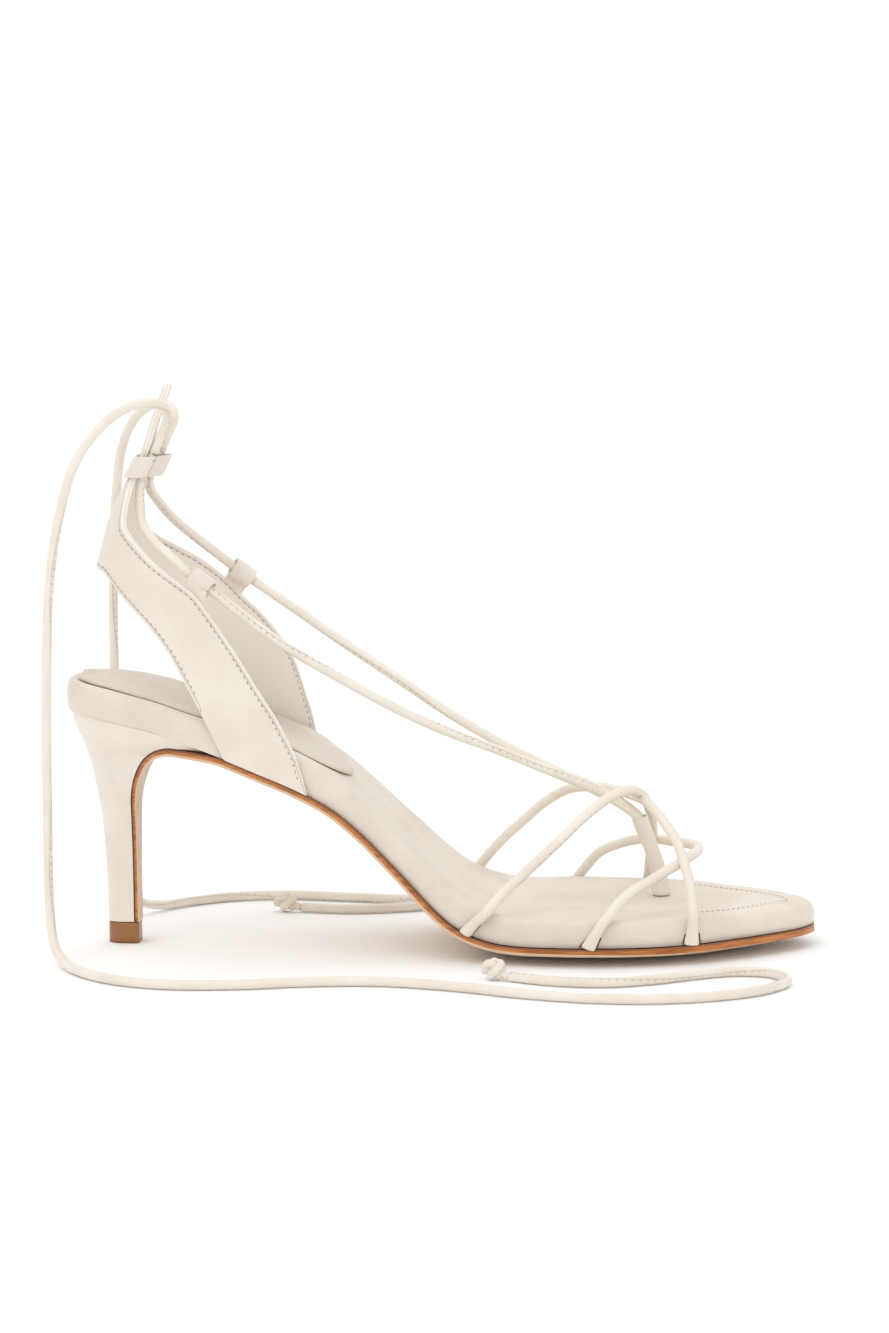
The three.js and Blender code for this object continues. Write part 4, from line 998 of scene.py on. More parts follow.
def sewn_row(line: Array, out: Array, length: float, radius: float) -> Skin:
    """Sews a row of stitches: the same small capsule at every point of a line, laid along it.

    A capsule's girth is the square root of one less the fourth power of the way to its end.

    Args:
        line: (n, 3) points, a pitch apart, whose first and last stay free.
        out: (n, 3) directions out of the leather.
        length: a stitch's length.
        radius: half its thickness.

    Returns:
        The row's stitches.
    """
    ahead = tangents(line)[1:-1]
    out = unit(out[1:-1])
    out = unit(out - ahead * np.sum(out * ahead, axis=1, keepdims=True))
    ends = np.linspace(-1, 1, 6)[:, None]
    turn = np.linspace(0, 2 * np.pi, 6, endpoint=False)
    girth = np.sqrt(np.clip(1 - ends ** 4, 0.05, 1)) * radius
    shape = np.stack(np.broadcast_arrays(ends * length / 2, girth * np.cos(turn) * STITCH_WIDTH,
                                         girth * np.sin(turn)), axis=-1)
    axes = np.stack([ahead, np.cross(ahead, out), out], axis=1)
    placed = line[1:-1, None, None] + np.einsum("rck,nkx->nrcx", shape, axes)
    return Skin.joined([Skin.lofted(stitch, Cap.FAN) for stitch in placed])


@dataclass
class Studio:
    """The camera at the photograph's angle, the pale floor and the soft lights."""

    azimuth: float = 4.0
    elevation: float = 8.0
    roll: float = 0.4
    distance: float = 1400.0
    pixels_per_mm: float = 3.15
    picture_height: float = 1333.0
    sensor: float = 36.0
    target: tuple[float, float, float] = (120.63, 0.0, 89.49)
    floor_side: float = 6.0
    floor_back: float = 3.0
    floor_flat: float = 0.72
    backdrop: float = 2.5

    def camera(self) -> None:
        """Stands the camera at its azimuth, elevation and distance from the target.

        The lens is the sensor's size times the wanted pixels a millimetre times the distance,
        over the picture's height.
        """
        turn, rise, roll = (math.radians(a) for a in (self.azimuth, self.elevation, self.roll))
        back = Vector((math.sin(turn) * math.cos(rise), -math.cos(turn) * math.cos(rise),
                       math.sin(rise)))
        level = Vector((math.cos(turn), math.sin(turn), 0))
        top = back.cross(level)
        right = level * math.cos(roll) - top * math.sin(roll)
        up = top * math.cos(roll) + level * math.sin(roll)
        target = Vector(self.target) * METRES + Vector(maker_shift())
        lens = bpy.data.cameras.new("camera")
        lens.sensor_width = self.sensor
        lens.lens = self.sensor * self.pixels_per_mm * self.distance / self.picture_height
        lens.clip_start = 0.05
        eye = bpy.data.objects.new("camera", lens)
        axes = Matrix((right, up, back)).transposed().to_4x4()
        eye.matrix_world = Matrix.Translation(target + back * self.distance * METRES) @ axes
        bpy.context.scene.collection.objects.link(eye)
        bpy.context.scene.camera = eye
        bpy.context.scene.view_settings.view_transform = "Standard"

    def floor(self) -> None:
        """Lays a wide floor, curved up far behind as a backdrop."""
        across = np.linspace(-self.floor_side, self.floor_side, 24)
        run = np.linspace(0, 1, 48)
        bend = np.clip((run - self.floor_flat) / (1 - self.floor_flat), 0, 1) * np.pi / 2
        flat = run / self.floor_flat * (self.floor_side + self.floor_back) - self.floor_side
        away = np.minimum(flat, self.floor_back) + self.backdrop * np.sin(bend)
        x, y = np.meshgrid(across, away)
        z = np.repeat(self.backdrop * (1 - np.cos(bend))[:, None], len(across), axis=1)
        number = np.arange(x.size).reshape(x.shape)
        quads = np.stack([number[:-1, :-1], number[:-1, 1:], number[1:, 1:], number[1:, :-1]],
                         axis=-1).reshape(-1, 4)
        mesh = bpy.data.meshes.new("floor")
        mesh.from_pydata(np.stack([x, y, z], axis=-1).reshape(-1, 3).tolist(), [], quads.tolist())
        mesh.shade_smooth()
        ground = bpy.data.objects.new("floor", mesh)
        bpy.context.scene.collection.objects.link(ground)
        wear(ground, PaleGround().material())

    def lights(self) -> None:
        """Hangs the soft boxes and sets the even light of the room."""
        self._box("key", (-0.7, -1.1, 1.9), 1.6, 9.0)
        self._box("fill", (1.3, -1.5, 1.1), 1.8, 2.0)
        self._box("top", (0.0, 2.0, 3.2), 6.0, 32.0)
        world = bpy.data.worlds.new("room")
        world.use_nodes = True
        back = world.node_tree.nodes["Background"]
        back.inputs["Color"].default_value = (1.0, 1.0, 1.0, 1.0)
        back.inputs["Strength"].default_value = 0.9
        bpy.context.scene.world = world

    def _box(self, name: str, place: tuple[float, float, float], size: float, power: float) -> None:
        """Hangs one soft box that faces the shoe.

        Args:
            name: the light's name.
            place: where it hangs, in metres.
            size: the side of its square, in metres.
            power: its power in watts.
        """
        light = bpy.data.lights.new(name, "AREA")
        light.shape = "SQUARE"
        light.size = size
        light.energy = power
        lamp = bpy.data.objects.new(name, light)
        aim = (Vector((0.0, 0.0, 0.06)) - Vector(place)).to_track_quat("-Z", "Y")
        lamp.matrix_world = Matrix.Translation(place) @ aim.to_matrix().to_4x4()
        bpy.context.scene.collection.objects.link(lamp)


@dataclass
class Footbed(Part):
    """The padded, covered bed: rings out under it, up its side, over the rim and in to the middle."""

    node: str = "footbed"
    leather: CreamLeather = BedLeather()
    padding: float = 0.9
    settle: float = 0.2
    steps: int = 12
    core: float = 0.02
    toe_start: float = 186.0
    toe_length: float = 44.0
    toe_softness: float = 1.3
    seam_inset: float = 8.6
    seam_start: float = 200.0
    seam_pitch: float = 1.9
    seam_length: float = 1.1
    seam_radius: float = 0.14
    side: tuple[tuple[float, float, float], ...] = (
        (1, 0.1, -0.02), (0.3, 0, 0.2), (0, 0, 0.45), (0, 0.25, 0.72), (0, 1, 0.91), (0, 2.4, 1))

    def rim_inset(self, x: Array) -> Array:
        """Returns how far inside the edge the rim is, a smooth step farther at the toe."""
        toe = smooth_step((x - self.toe_start) / self.toe_length)
        return SHAPE.rim_inset * (1 + self.toe_softness * toe)

    def loop(self) -> tuple[Array, Array]:
        """Returns the outline's points, clockwise from the heel, and its inward directions."""
        last = len(OUTLINE.rows) - 1
        along, outer, inner = SHAPE.outline_at(np.linspace(0, last, last * self.steps + 1))
        edge = np.stack([np.concatenate([along, along[-2:0:-1]]),
                         np.concatenate([-outer, inner[-2:0:-1]])], axis=-1)
        return edge, square_to(unit(np.roll(edge, -1, axis=0) - np.roll(edge, 1, axis=0)))

    def build(self) -> Object:
        """Makes the bed.

        A ring stands a share of the way from the middle line to the outline less its inset, at
        the height of the bed's underside, side or dished top there.

        Returns:
            The bed.
        """
        edge, inward = self.loop()
        x = edge[:, 0]
        spine, rim_inset = SHAPE.spine(x), self.rim_inset(x)
        tuck = SHAPE.bed_tuck * SHAPE.profile("tuck", x)
        rings, places = [], []

        def ring(inset: Array, share: float, height: object, top: float = 0.0) -> None:
            """Adds a ring with an inset, a share and a height worked out from its places."""
            plan = spine + (edge + inward * inset[:, None] - spine) * share
            rings.append(np.column_stack([plan, height(plan[:, 0])]))
            inside = np.linalg.norm(plan - edge, axis=-1) * top
            places.append(np.stack([inside, plan[:, 0], np.full_like(inside, top)], axis=-1))

        for share in np.linspace(self.core, 1, 14):
            ring(tuck + 0.1, share, lambda at, s=share: (
                SHAPE.bed_underside(at) - self.settle + SHAPE.crown_lift(at, s)))
        for tucked, drawn_in, level in smooth_line(np.array(self.side), 0.14)[:-1]:
            ring(tuck * tucked + drawn_in * rim_inset / SHAPE.rim_inset, 1.0, lambda at, h=level: (
                SHAPE.bed_edge(at) + h * SHAPE.profile("depth", at) * SHAPE.bed_depth))
        for share in np.linspace(1, self.core, 20):
            ring(rim_inset, share, lambda at, s=share: SHAPE.bed_top(at, s), 1.0)
        return Skin.lofted(np.array(rings), Cap.SPINDLE, {"inside": np.array(places)}).to_object(
            self.node, 60)

    def trimmings(self) -> list[tuple[Object, ShadedThread]]:
        """Sews the row round the toe, a seam's inset inside the outline, on the dished top.

        Returns:
            The row and its thread.
        """
        edge, inward = self.loop()
        fore = edge[:, 0] > self.seam_start
        edge, inward = edge[fore], inward[fore]
        plan = edge + inward * self.seam_inset
        rim = edge + inward * self.rim_inset(edge[:, 0])[:, None]
        spine = SHAPE.spine(rim[:, 0])
        share = np.linalg.norm(plan - spine, axis=-1) / np.linalg.norm(rim - spine, axis=-1)
        z = SHAPE.bed_top(plan[:, 0], np.minimum(share, 1)) + self.seam_radius * 0.4
        line = evenly(np.column_stack([plan, z]), self.seam_pitch)
        row = sewn_row(line, np.tile((0.0, 0.0, 1.0), (len(line), 1)), self.seam_length,
                       self.seam_radius)
        return [(row.to_object("footbed_stitches", 60),
                 ShadedThread("bed_thread", (214, 202, 187), (194, 181, 165)))]


@dataclass
class HeelSock(Part):
    """The thin padded sock over the bed's heel, its edge turned down all round."""

    node: str = "heel_sock"
    leather: CreamLeather = CreamLeather("sock_leather", (219, 209, 196), (210, 198, 184),
                                         roughness=0.55)
    padding: float = 0.8
    thickness: float = 0.9
    inset: float = 3.6
    front: float = 91.0
    thinnest: float = 0.8
    settle: float = 0.29
    end_round: float = 0.16
    stations: int = 90
    columns: int = 48
    edge_soft: float = 0.9
    edge_height: float = 0.45

    def build(self) -> Object:
        """Makes the sock: two sheets over the bed's dished top, joined round a soft edge.

        A station is as wide as the outline less the inset, times the quarter circle of its
        distance from the front end.

        Returns:
            The sock.
        """
        back = self.inset + self.thinnest
        k = np.arange(self.stations + 1)
        t = 0.5 - 0.5 * np.cos(np.pi * (k + 0.35) / (self.stations + 0.7))
        x = (back + (self.front - back) * t)[:, None]
        to_front = np.minimum(1, (1 - t) / self.end_round)
        round_end = np.sqrt(np.maximum(0, 1 - (1 - to_front) ** 2))[:, None]
        turn = np.linspace(-np.pi / 2, np.pi / 2, self.columns)
        share = np.sin(turn)[None]
        edge = np.where(share < 0, *(np.maximum(
            self.thinnest, SHAPE.half_width(s, x - back / 2) - self.inset) for s in (-1, 1)))
        half = edge * round_end
        base = SHAPE.bed_top(x, SHAPE.bed_share(x, share)) + SHAPE.clearance
        soft = np.sqrt(np.clip((1 - np.abs(share)) * half / self.edge_soft, 0, 1))
        upper = base + self.thickness * (self.edge_height + (1 - self.edge_height) * soft)
        lower = base - self.settle + self.thickness * 0.1 * (1 - soft)
        x, y = np.repeat(x, self.columns, axis=1), share * half
        rings = np.concatenate([np.stack([x, y, lower], axis=-1),
                                np.stack([x, y, upper], axis=-1)[:, ::-1]], axis=1)
        return Skin.lofted(rings, Cap.LADDER).to_object(self.node, 60)


@dataclass
class Outsole(Part):
    """The thin outsole, carried from the toe back to the heel's breast and down it as a flap."""

    node: str = "outsole"
    leather: SoleLeather = SoleLeather()
    lip: float = 0.7
    edge_round: float = 0.5
    across: int = 44
    toe_gap: float = 0.08

    def path(self) -> tuple[Array, Array, Array, Array, Array]:
        """Works out the path of the outsole's upper face.

        It follows the outline's stations to the wing's front, the waist under the wing, a quarter
        ellipse round the breast and a straight line down to the top piece.

        Returns:
            The path's X, Z, outer and inner half widths, and the thickness.
        """
        last = len(OUTLINE.rows) - 1 - self.toe_gap
        along, outer, inner = SHAPE.outline_at(last - np.linspace(0, 1, 260) ** 1.15 * last)
        fore = along >= SHAPE.wing_front
        along = along[fore]
        waist = np.linspace(SHAPE.wing_front, SHAPE.bend_start, 24)[:-1]
        bend_x, bend_z = SHAPE.breast_bend(np.linspace(0, np.pi / 2, 40))
        drop = np.linspace(bend_z[-1], SHAPE.heel_foot, 40)[1:]
        x = np.concatenate([along, waist, bend_x, np.full_like(drop, SHAPE.breast_along)])
        flap_z = np.concatenate([bend_z, drop])
        z = np.concatenate([SHAPE.outsole_top(along), SHAPE.outsole_top(waist), flap_z])
        width, taper = SHAPE.heel_column("width", flap_z), self.taper(waist)
        halves = [np.concatenate([half[fore] + self.lip, SHAPE.half_width(side.value, waist) - taper,
                                  SHAPE.seat_half(side.value) * width])
                  for side, half in zip(Side, (outer, inner))]
        thinning = SHAPE.flap_thickness - SHAPE.outsole_thickness
        share = np.concatenate([np.zeros(len(along) + len(waist)), np.linspace(0, 1, len(bend_x)),
                                np.ones(len(drop))])
        return x, z, *halves, SHAPE.outsole_thickness + thinning * share

    def taper(self, x: Array) -> Array:
        """Returns how far the edge draws in under the heel's wing."""
        share = np.clip((SHAPE.wing_front - x) / (SHAPE.wing_front - SHAPE.bend_start), 0, 1)
        narrow = 1 - SHAPE.heel_column("width", SHAPE.outsole_top(x))
        return -self.lip + share * (self.lip + SHAPE.seat_half(-1) * narrow)

    def section(self) -> Array:
        """Draws the outsole's section: top, rounded outer edge, underside and inner edge.

        Returns:
            Rows of the share of the half width, the share of the thickness, the inset from the
            edge, and the zone that the leather reads.
        """
        share = np.sin(np.linspace(-np.pi / 2, np.pi / 2, self.across))
        turn, one = np.linspace(0, np.pi / 2, 5), np.ones(self.across)
        depth = np.concatenate([(1 - np.cos(turn)) * 0.25, 1 - (1 - np.sin(turn)) * 0.32])
        inset = np.concatenate([(1 - np.sin(turn)) * 0.25, 1 - np.cos(turn)]) * self.edge_round
        zone = np.concatenate([np.linspace(0, 0.1, 5), np.linspace(0.68, 1.0, 5)])
        rows = [np.concatenate(row) for row in (
            (share, np.ones(10), share[::-1], -np.ones(10)), (0 * one, depth, one, depth[::-1]),
            (inset[0] * one, inset, inset[-1] * one, inset[::-1]),
            (0 * one, zone, 2 * one, zone[::-1]))]
        return np.roll(rows, 5, axis=1)

    def build(self) -> Object:
        """Makes the outsole: its section carried along the path, square to it.

        Returns:
            The outsole.
        """
        x, z, outer, inner, thick = (row[:, None] for row in self.path())
        down = square_to(tangents(np.hstack([x, z])))
        down[-1] = (1, 0)
        share, depth, inset, zone = self.section()
        room = np.maximum((inner + outer) / 2 - inset, 0.2)
        lift = np.where(x > SHAPE.wing_front, SHAPE.crown_lift(x, share), 0)
        rings = np.stack([x + down[:, :1] * thick * depth, (inner - outer) / 2 + room * share,
                          np.maximum(0, z + down[:, 1:] * thick * depth) + lift], axis=-1)
        zones = np.repeat(zone[None], len(x), axis=0)
        return Skin.lofted(rings, Cap.LADDER, {"zone": zones}).to_object(self.node, 50)


@dataclass
class CoveredHeel(Part):
    """The slim covered heel with its wing under the seat, between bed above and flap in front."""

    node: str = "heel"
    leather: CreamLeather = CreamLeather("heel_leather", (236, 228, 218), roughness=0.46)
    round_power: float = 2.3
    wing_stop: float = 51.0
    columns: int = 70
    levels: int = 120

    def side_view(self) -> tuple[Array, Array]:
        """Fills the heel's side view with a grid drawn between its four edges.

        The edges are the round back, the foot, the breast with the wing's underside, and the
        line under the bed. A point inside is the two straight blends between facing edges less
        the blend of the corners.

        Returns:
            X and Z, a row for each level and a column from the back to the breast.
        """
        u = 1 - np.cos(np.linspace(0, np.pi / 2, self.columns))
        v = np.linspace(0, 1, self.levels)
        gap, foot_z = SHAPE.clearance, SHAPE.heel_foot
        back_z = np.linspace(foot_z, SHAPE.heel_rise * HEEL.rows[-1][0], 400)
        back_x = SHAPE.heel_column("back", back_z) * SHAPE.foot_length
        meet = np.argmax(back_z > SHAPE.bed_underside(back_x) - gap)
        back = read_line(evenly(np.stack([back_x, back_z], axis=-1)[:meet], 0.2), v)
        foot = np.stack([back[0, 0] + (SHAPE.breast_along - gap - back[0, 0]) * u,
                         np.full_like(u, foot_z)], axis=-1)
        wing = np.linspace(SHAPE.bend_start, self.wing_stop, 40)[1:]
        breast = np.vstack([
            [[SHAPE.breast_along, foot_z]],
            np.stack(SHAPE.breast_bend(np.linspace(np.pi / 2, 0, 60)), axis=-1),
            np.stack([wing, SHAPE.outsole_top(wing)], axis=-1)])
        breast = evenly(breast + square_to(tangents(breast)) * gap, 0.2)
        breast[0] = foot[-1]
        breast = read_line(breast, v)
        top_x = back[-1, 0] + (breast[-1, 0] - back[-1, 0]) * u
        top = np.stack([top_x, SHAPE.bed_underside(top_x) - gap], axis=-1)
        uu, vv = u[None, :, None], v[:, None, None]
        grid = ((1 - uu) * back[:, None] + uu * breast[:, None] + (1 - vv) * foot[None]
                + vv * top[None] - ((1 - uu) * (1 - vv) * foot[0] + uu * (1 - vv) * foot[-1]
                                    + (1 - uu) * vv * top[0] + uu * vv * top[-1]))
        return grid[..., 0], grid[..., 1]

    def build(self) -> Object:
        """Makes the heel.

        Its half width is the seat's, times the width for that height, times a superellipse of
        the distance from the back edge over the length of the round back.

        Returns:
            The heel.
        """
        x, z = self.side_view()
        back = SHAPE.heel_column("back", z) * SHAPE.foot_length
        length = SHAPE.heel_column("round", z) * SHAPE.foot_length
        reach = np.clip((x - back) / length, 0, 1)
        out = (1 - (1 - reach) ** self.round_power) ** (1 / self.round_power)
        out[:, 0] = 0
        width = SHAPE.heel_column("width", z) * out
        sides = [np.stack([x, side.value * SHAPE.seat_half(side.value) * width, z], axis=-1)
                 for side in Side]
        rings = np.concatenate([sides[0][:, ::-1], sides[1][:, 1:]], axis=1)
        return Skin.lofted(rings, Cap.LADDER).to_object(self.node, 45)


@dataclass
class TopPiece(Part):
    """The small D-shaped piece that the heel stands on, its rims rounded."""

    node: str = "top_piece"
    leather: HeelRubber = HeelRubber()
    rim: float = 0.4
    corner: float = 0.5

    def build(self) -> Object:
        """Makes the top piece: one D outline at levels, drawn in by quarter circles at both rims.

        Returns:
            The top piece.
        """
        _, back, width, length = HEEL.rows[0]
        back, length = back * SHAPE.foot_length, length * SHAPE.foot_length
        half = width * float(SHAPE.seat_half(-1))
        front = SHAPE.breast_along + SHAPE.flap_thickness - SHAPE.clearance
        turn = np.linspace(np.pi / 2, -np.pi / 2, 60)
        bend = np.linspace(-np.pi / 2, 0, 6)
        low = np.stack([front - self.corner * (1 - np.cos(bend)),
                        self.corner * (1 + np.sin(bend)) - half], axis=-1)
        plan = np.vstack([np.stack([back + length * (1 - np.cos(turn)), half * np.sin(turn)],
                                   axis=-1), low, low[::-1] * (1, -1)])
        centre = np.array([(back + front) / 2, 0])
        roll = np.linspace(0, np.pi / 2, 6)
        rise, fall = 1 - np.cos(roll), 1 - np.sin(roll)
        inset = np.concatenate([fall, rise]) * self.rim
        level = np.concatenate([rise * self.rim, SHAPE.top_piece_height - fall * self.rim])
        size = np.array([(front - back) / 2, half])
        rings = np.stack([np.column_stack([centre + (plan - centre) * (1 - i / size),
                                           np.full(len(plan), z)])
                          for i, z in zip(inset, level)])
        return Skin.lofted(rings, Cap.FAN).to_object(self.node, 50)


@dataclass
class HeelBand(Part):
    """The band round the heel: one wall between two edges, with a tab that stands up behind."""

    node: str = "heel_band"
    leather: CreamLeather = BandLeather()
    thickness: float = 2.0
    height: float = 103.0
    nose: float = 26.0
    lean: float = 0.17
    front: float = 2.055
    tab_base: float = 0.17
    edge_roll: float = 0.35
    thinnest: float = 0.8
    foot_start: float = 1.24
    stitch_inset: float = 1.4
    stitch_pitch: float = 2.1
    stitch_length: float = 1.05
    stitch_radius: float = 0.1
    rows: int = 34

    @property
    def size(self) -> Array:
        """The lengths of a quarter turn and of a millimetre's height, in millimetres."""
        return np.array([self.nose * np.pi / 2, 1.0])

    def point(self, around: Array, height: Array, depth: Array) -> Array:
        """Returns points of the band.

        The plan is a quarter turn of the nose and then a straight run, as far out as the sole's
        half width and the wall, less the lean with the height over the rim.

        Args:
            around: distance from the back in quarter turns, minus on the outer side.
            height: height from the floor.
            depth: depth into the wall.

        Returns:
            The points, with the arrays' shape and a last axis of three.
        """
        around, height, depth = np.broadcast_arrays(around, height, depth)
        turn = np.minimum(1, np.abs(around)) * np.pi / 2
        beyond = np.maximum(0, np.abs(around) - 1) * self.nose * np.pi / 2
        level = (height - SHAPE.seat_height) / self.height
        x = (BAND_BACK.read("back", level) * SHAPE.foot_length + depth
             + (self.nose - depth) * (1 - np.cos(turn)) + beyond)
        place = np.maximum(x, SHAPE.seat_place)
        lean = self.lean * np.maximum(0, height - SHAPE.bed_rim(place))
        side = np.where(around < 0, -1, 1)
        half = (SHAPE.half_width(side, place) + SHAPE.clearance * 1.5 + self.thickness - depth
                - lean)
        return np.stack([x, side * half * np.sin(turn), height], axis=-1)

    def around_at(self, side: Side, along: Array, height: Array) -> Array:
        """Returns how far round the band's outer face a place along the shoe is."""
        quarter = self.point(np.full_like(height, side.value, dtype=float), height, 0.0)[..., 0]
        return side.value * (1 + (along - quarter) / (self.nose * np.pi / 2))

    def lower(self, around: Array) -> Array:
        """Returns the lower edge's height, which runs down to the outsole and along it."""
        free = SHAPE.seat_height + BAND_LOWER.read("height", np.abs(around)) * self.height
        foot = SHAPE.outsole_top(self.point(around, SHAPE.seat_height, 0.0)[..., 0])
        return np.maximum(free, foot + SHAPE.clearance)

    def edges(self) -> tuple[Array, Array]:
        """Works out both edges, matched station by station from the outer front to the inner.

        Beside the tab a station has one place round the band. Within it the upper points go
        evenly up the tab's side and over its end while the lower ones cross the back.

        Returns:
            The lower and the upper edge, in quarter turns and in height.
        """
        scale = self.size * (1, self.height)
        tab = smooth_line(np.array(TAB_END) * scale, 0.7) / scale
        tab[:, 1] = SHAPE.seat_height + tab[:, 1] * self.height
        upper, lower = [], []
        for side in Side:
            around = np.linspace(self.front, self.tab_base, 96)[:-1]
            low = self.lower(around * side.value)
            high = SHAPE.seat_height + BAND_UPPER[side].read("height", around) * self.height
            up = np.vstack([np.column_stack([around, np.maximum(high, low + self.thinnest)]), tab])
            around = np.concatenate([around, np.linspace(self.tab_base, 0, len(tab))])
            down = np.column_stack([around, self.lower(around * side.value)])
            for edge, kept in ((up, upper), (down, lower)):
                edge[:, 0] *= side.value
                kept.append(edge if side is Side.OUTER else edge[::-1][1:])
        return np.vstack(lower), np.vstack(upper)

    def inset(self, edge: Array, inward: int, distance: float) -> Array:
        """Moves an edge into the band, square to itself in the band's surface.

        Args:
            edge: points in quarter turns and height.
            inward: 1 where the band is above the edge, -1 where it is below.
            distance: how far.

        Returns:
            The moved points.
        """
        square = square_to(tangents(edge * self.size)) * inward
        return edge + square * distance / self.size

    def build(self) -> Object:
        """Makes the band: outer face, rolled upper edge, lining and rolled lower edge, as rings.

        Returns:
            The band.
        """
        lower, upper = self.edges()
        roll = np.linspace(0, np.pi / 2, 5)[1:]
        face = np.linspace(0, 1, self.rows)[None, :, None]
        sheet = (self.inset(lower, 1, self.edge_roll)[:, None] * (1 - face)
                 + self.inset(upper, -1, self.edge_roll)[:, None] * face)
        draw = self.edge_roll * (1 - np.sin(roll))
        sunk = self.edge_roll * (1 - np.cos(roll))
        draw = np.concatenate([draw, draw[::-1]])
        sunk = np.concatenate([sunk, self.thickness - sunk[::-1]])
        top = np.stack([self.inset(upper, -1, d) for d in draw], axis=1)
        bottom = np.stack([self.inset(lower, 1, d) for d in draw], axis=1)[:, ::-1]
        flat = np.roll(np.concatenate([sheet, top, sheet[:, ::-1], bottom], axis=1), 4, axis=1)
        depth = np.roll(np.concatenate([np.zeros(self.rows), sunk,
                                        np.full(self.rows, self.thickness), sunk[::-1]]), 4)
        depth = np.repeat(depth[None], len(lower), axis=0)
        at_foot = np.maximum(0, np.abs(lower[:, :1]) - self.foot_start) * self.nose * 4
        near = np.minimum(np.linalg.norm((flat - lower[:, None]) * self.size, axis=-1) + at_foot,
                          np.linalg.norm((flat - upper[:, None]) * self.size, axis=-1))
        return Skin.lofted(self.point(flat[..., 0], flat[..., 1], depth), Cap.LADDER,
                           {"layer": depth / self.thickness, "edge": near}).to_object(self.node, 50)

    def trimmings(self) -> list[tuple[Object, ShadedThread]]:
        """Sews rows of stitches along both edges, on the outer face and on the lining.

        Returns:
            The rows, as one piece, and their thread.
        """
        lower, upper = self.edges()
        skins = []
        for edge, inward, stretch in ((lower, 1, (0.02, self.foot_start)), (upper, -1, (0.4, 2.02))):
            moved = self.inset(edge, inward, self.stitch_inset)
            for side in Side:
                around = moved[:, 0] * side.value
                kept = moved[(around > stretch[0]) & (around < stretch[1])]
                skins += [self._row(kept, 0.0, 1), self._row(kept, self.thickness, -1)]
        return [(Skin.joined(skins).to_object("heel_band_stitches", 60), ShadedThread())]

    def _row(self, edge: Array, depth: float, outward: int) -> Skin:
        """Sews one row.

        Args:
            edge: the row's line in quarter turns and height.
            depth: the depth of the face that it lies on.
            outward: 1 on the outer face, -1 on the lining.

        Returns:
            The row's stitches.
        """
        line, under = (evenly(self.point(edge[:, 0], edge[:, 1], d), self.stitch_pitch)
                       for d in (depth, depth + 0.1))
        return sewn_row(line, (line - under) * outward, self.stitch_length, self.stitch_radius)

CORD_ROWS = {
    "rear": Table("along across height", (
        (0.587, -0.414, 0.43), (0.626, -0.344, 0.594), (0.664, -0.255, 0.748),
        (0.702, -0.153, 0.899), (0.731, -0.07, 0.98), (0.757, 0.013, 0.994), (0.771, 0.076, 0.942),
        (0.778, 0.14, 0.853), (0.782, 0.217, 0.748), (0.782, 0.306, 0.624), (0.779, 0.395, 0.5))),
    "cross": Table("along across height", (
        (0.838, -0.382, 0.409), (0.834, -0.338, 0.522), (0.827, -0.268, 0.616),
        (0.818, -0.197, 0.716), (0.801, -0.115, 0.821), (0.788, -0.038, 0.876),
        (0.774, 0.038, 0.92), (0.756, 0.096, 0.943), (0.728, 0.166, 0.963), (0.698, 0.242, 0.957),
        (0.667, 0.318, 0.92), (0.634, 0.382, 0.817), (0.606, 0.42, 0.693), (0.578, 0.433, 0.57))),
    "toe": Table("along across height", (
        (0.729, -0.487, 0.324), (0.738, -0.461, 0.379), (0.749, -0.436, 0.429),
        (0.762, -0.403, 0.472), (0.78, -0.361, 0.512), (0.802, -0.303, 0.561),
        (0.823, -0.236, 0.603), (0.837, -0.127, 0.62), (0.845, 0, 0.615), (0.843, 0.115, 0.608),
        (0.83, 0.217, 0.595), (0.808, 0.299, 0.587), (0.785, 0.357, 0.585), (0.76, 0.408, 0.567),
        (0.733, 0.452, 0.522), (0.708, 0.484, 0.459))),
}
CORD_FEET = {
    "rear": {Side.OUTER: (0.541, 0.57), Side.INNER: (0.77, 0.774)},
    "cross": {Side.OUTER: (0.838, 0.84), Side.INNER: (0.528, 0.546)},
    "toe": {Side.OUTER: (0.703, 0.723), Side.INNER: (0.655, 0.68)},
}
POST = Table("along across height swell", (
    (0.7945, 0.15, 0.374, 1), (0.7935, 0.148, 0.45, 0.93), (0.789, 0.141, 0.6, 0.89),
    (0.781, 0.129, 0.75, 0.89), (0.773, 0.117, 0.88, 0.95), (0.766, 0.109, 1, 1)))
LACE_RUN = {
    Side.OUTER: Table("reach across rise", (
        (0.034, 0.079, 0.17), (0.064, 0.064, 0.21), (0.115, 0.046, 0.2), (0.165, 0.033, 0.06),
        (0.23, 0.014, -0.13), (0.322, -0.015, -0.4), (0.436, -0.064, -0.81), (0.55, -0.115, -1),
        (0.663, -0.157, -0.98), (0.799, -0.197, -0.86), (0.874, -0.213, -0.6))),
    Side.INNER: Table("reach across rise", (
        (0.037, 0.122, 0.16), (0.07, 0.113, 0.17), (0.124, 0.11, 0.1), (0.178, 0.112, -0.14),
        (0.25, 0.125, -0.36), (0.35, 0.146, -0.6), (0.477, 0.172, -0.71), (0.603, 0.191, -0.59),
        (0.729, 0.208, -0.46), (0.855, 0.217, -0.25))),
}
LACE_REAR = {
    Side.OUTER: Table("along across height", (
        (0.175, -0.225, 0.433), (0.147, -0.21, 0.49), (0.124, -0.159, 0.532),
        (0.108, -0.104, 0.583), (0.1042, -0.062, 0.629), (0.1029, -0.036, 0.667),
        (0.107, -0.031, 0.71), (0.122, -0.031, 0.782))),
    Side.INNER: Table("along across height", (
        (0.212, 0.219, 0.425), (0.187, 0.206, 0.472), (0.163, 0.176, 0.52),
        (0.139, 0.131, 0.575), (0.1235, 0.083, 0.627), (0.1136, 0.045, 0.672),
        (0.1128, 0.033, 0.707), (0.1274, 0.033, 0.78))),
}
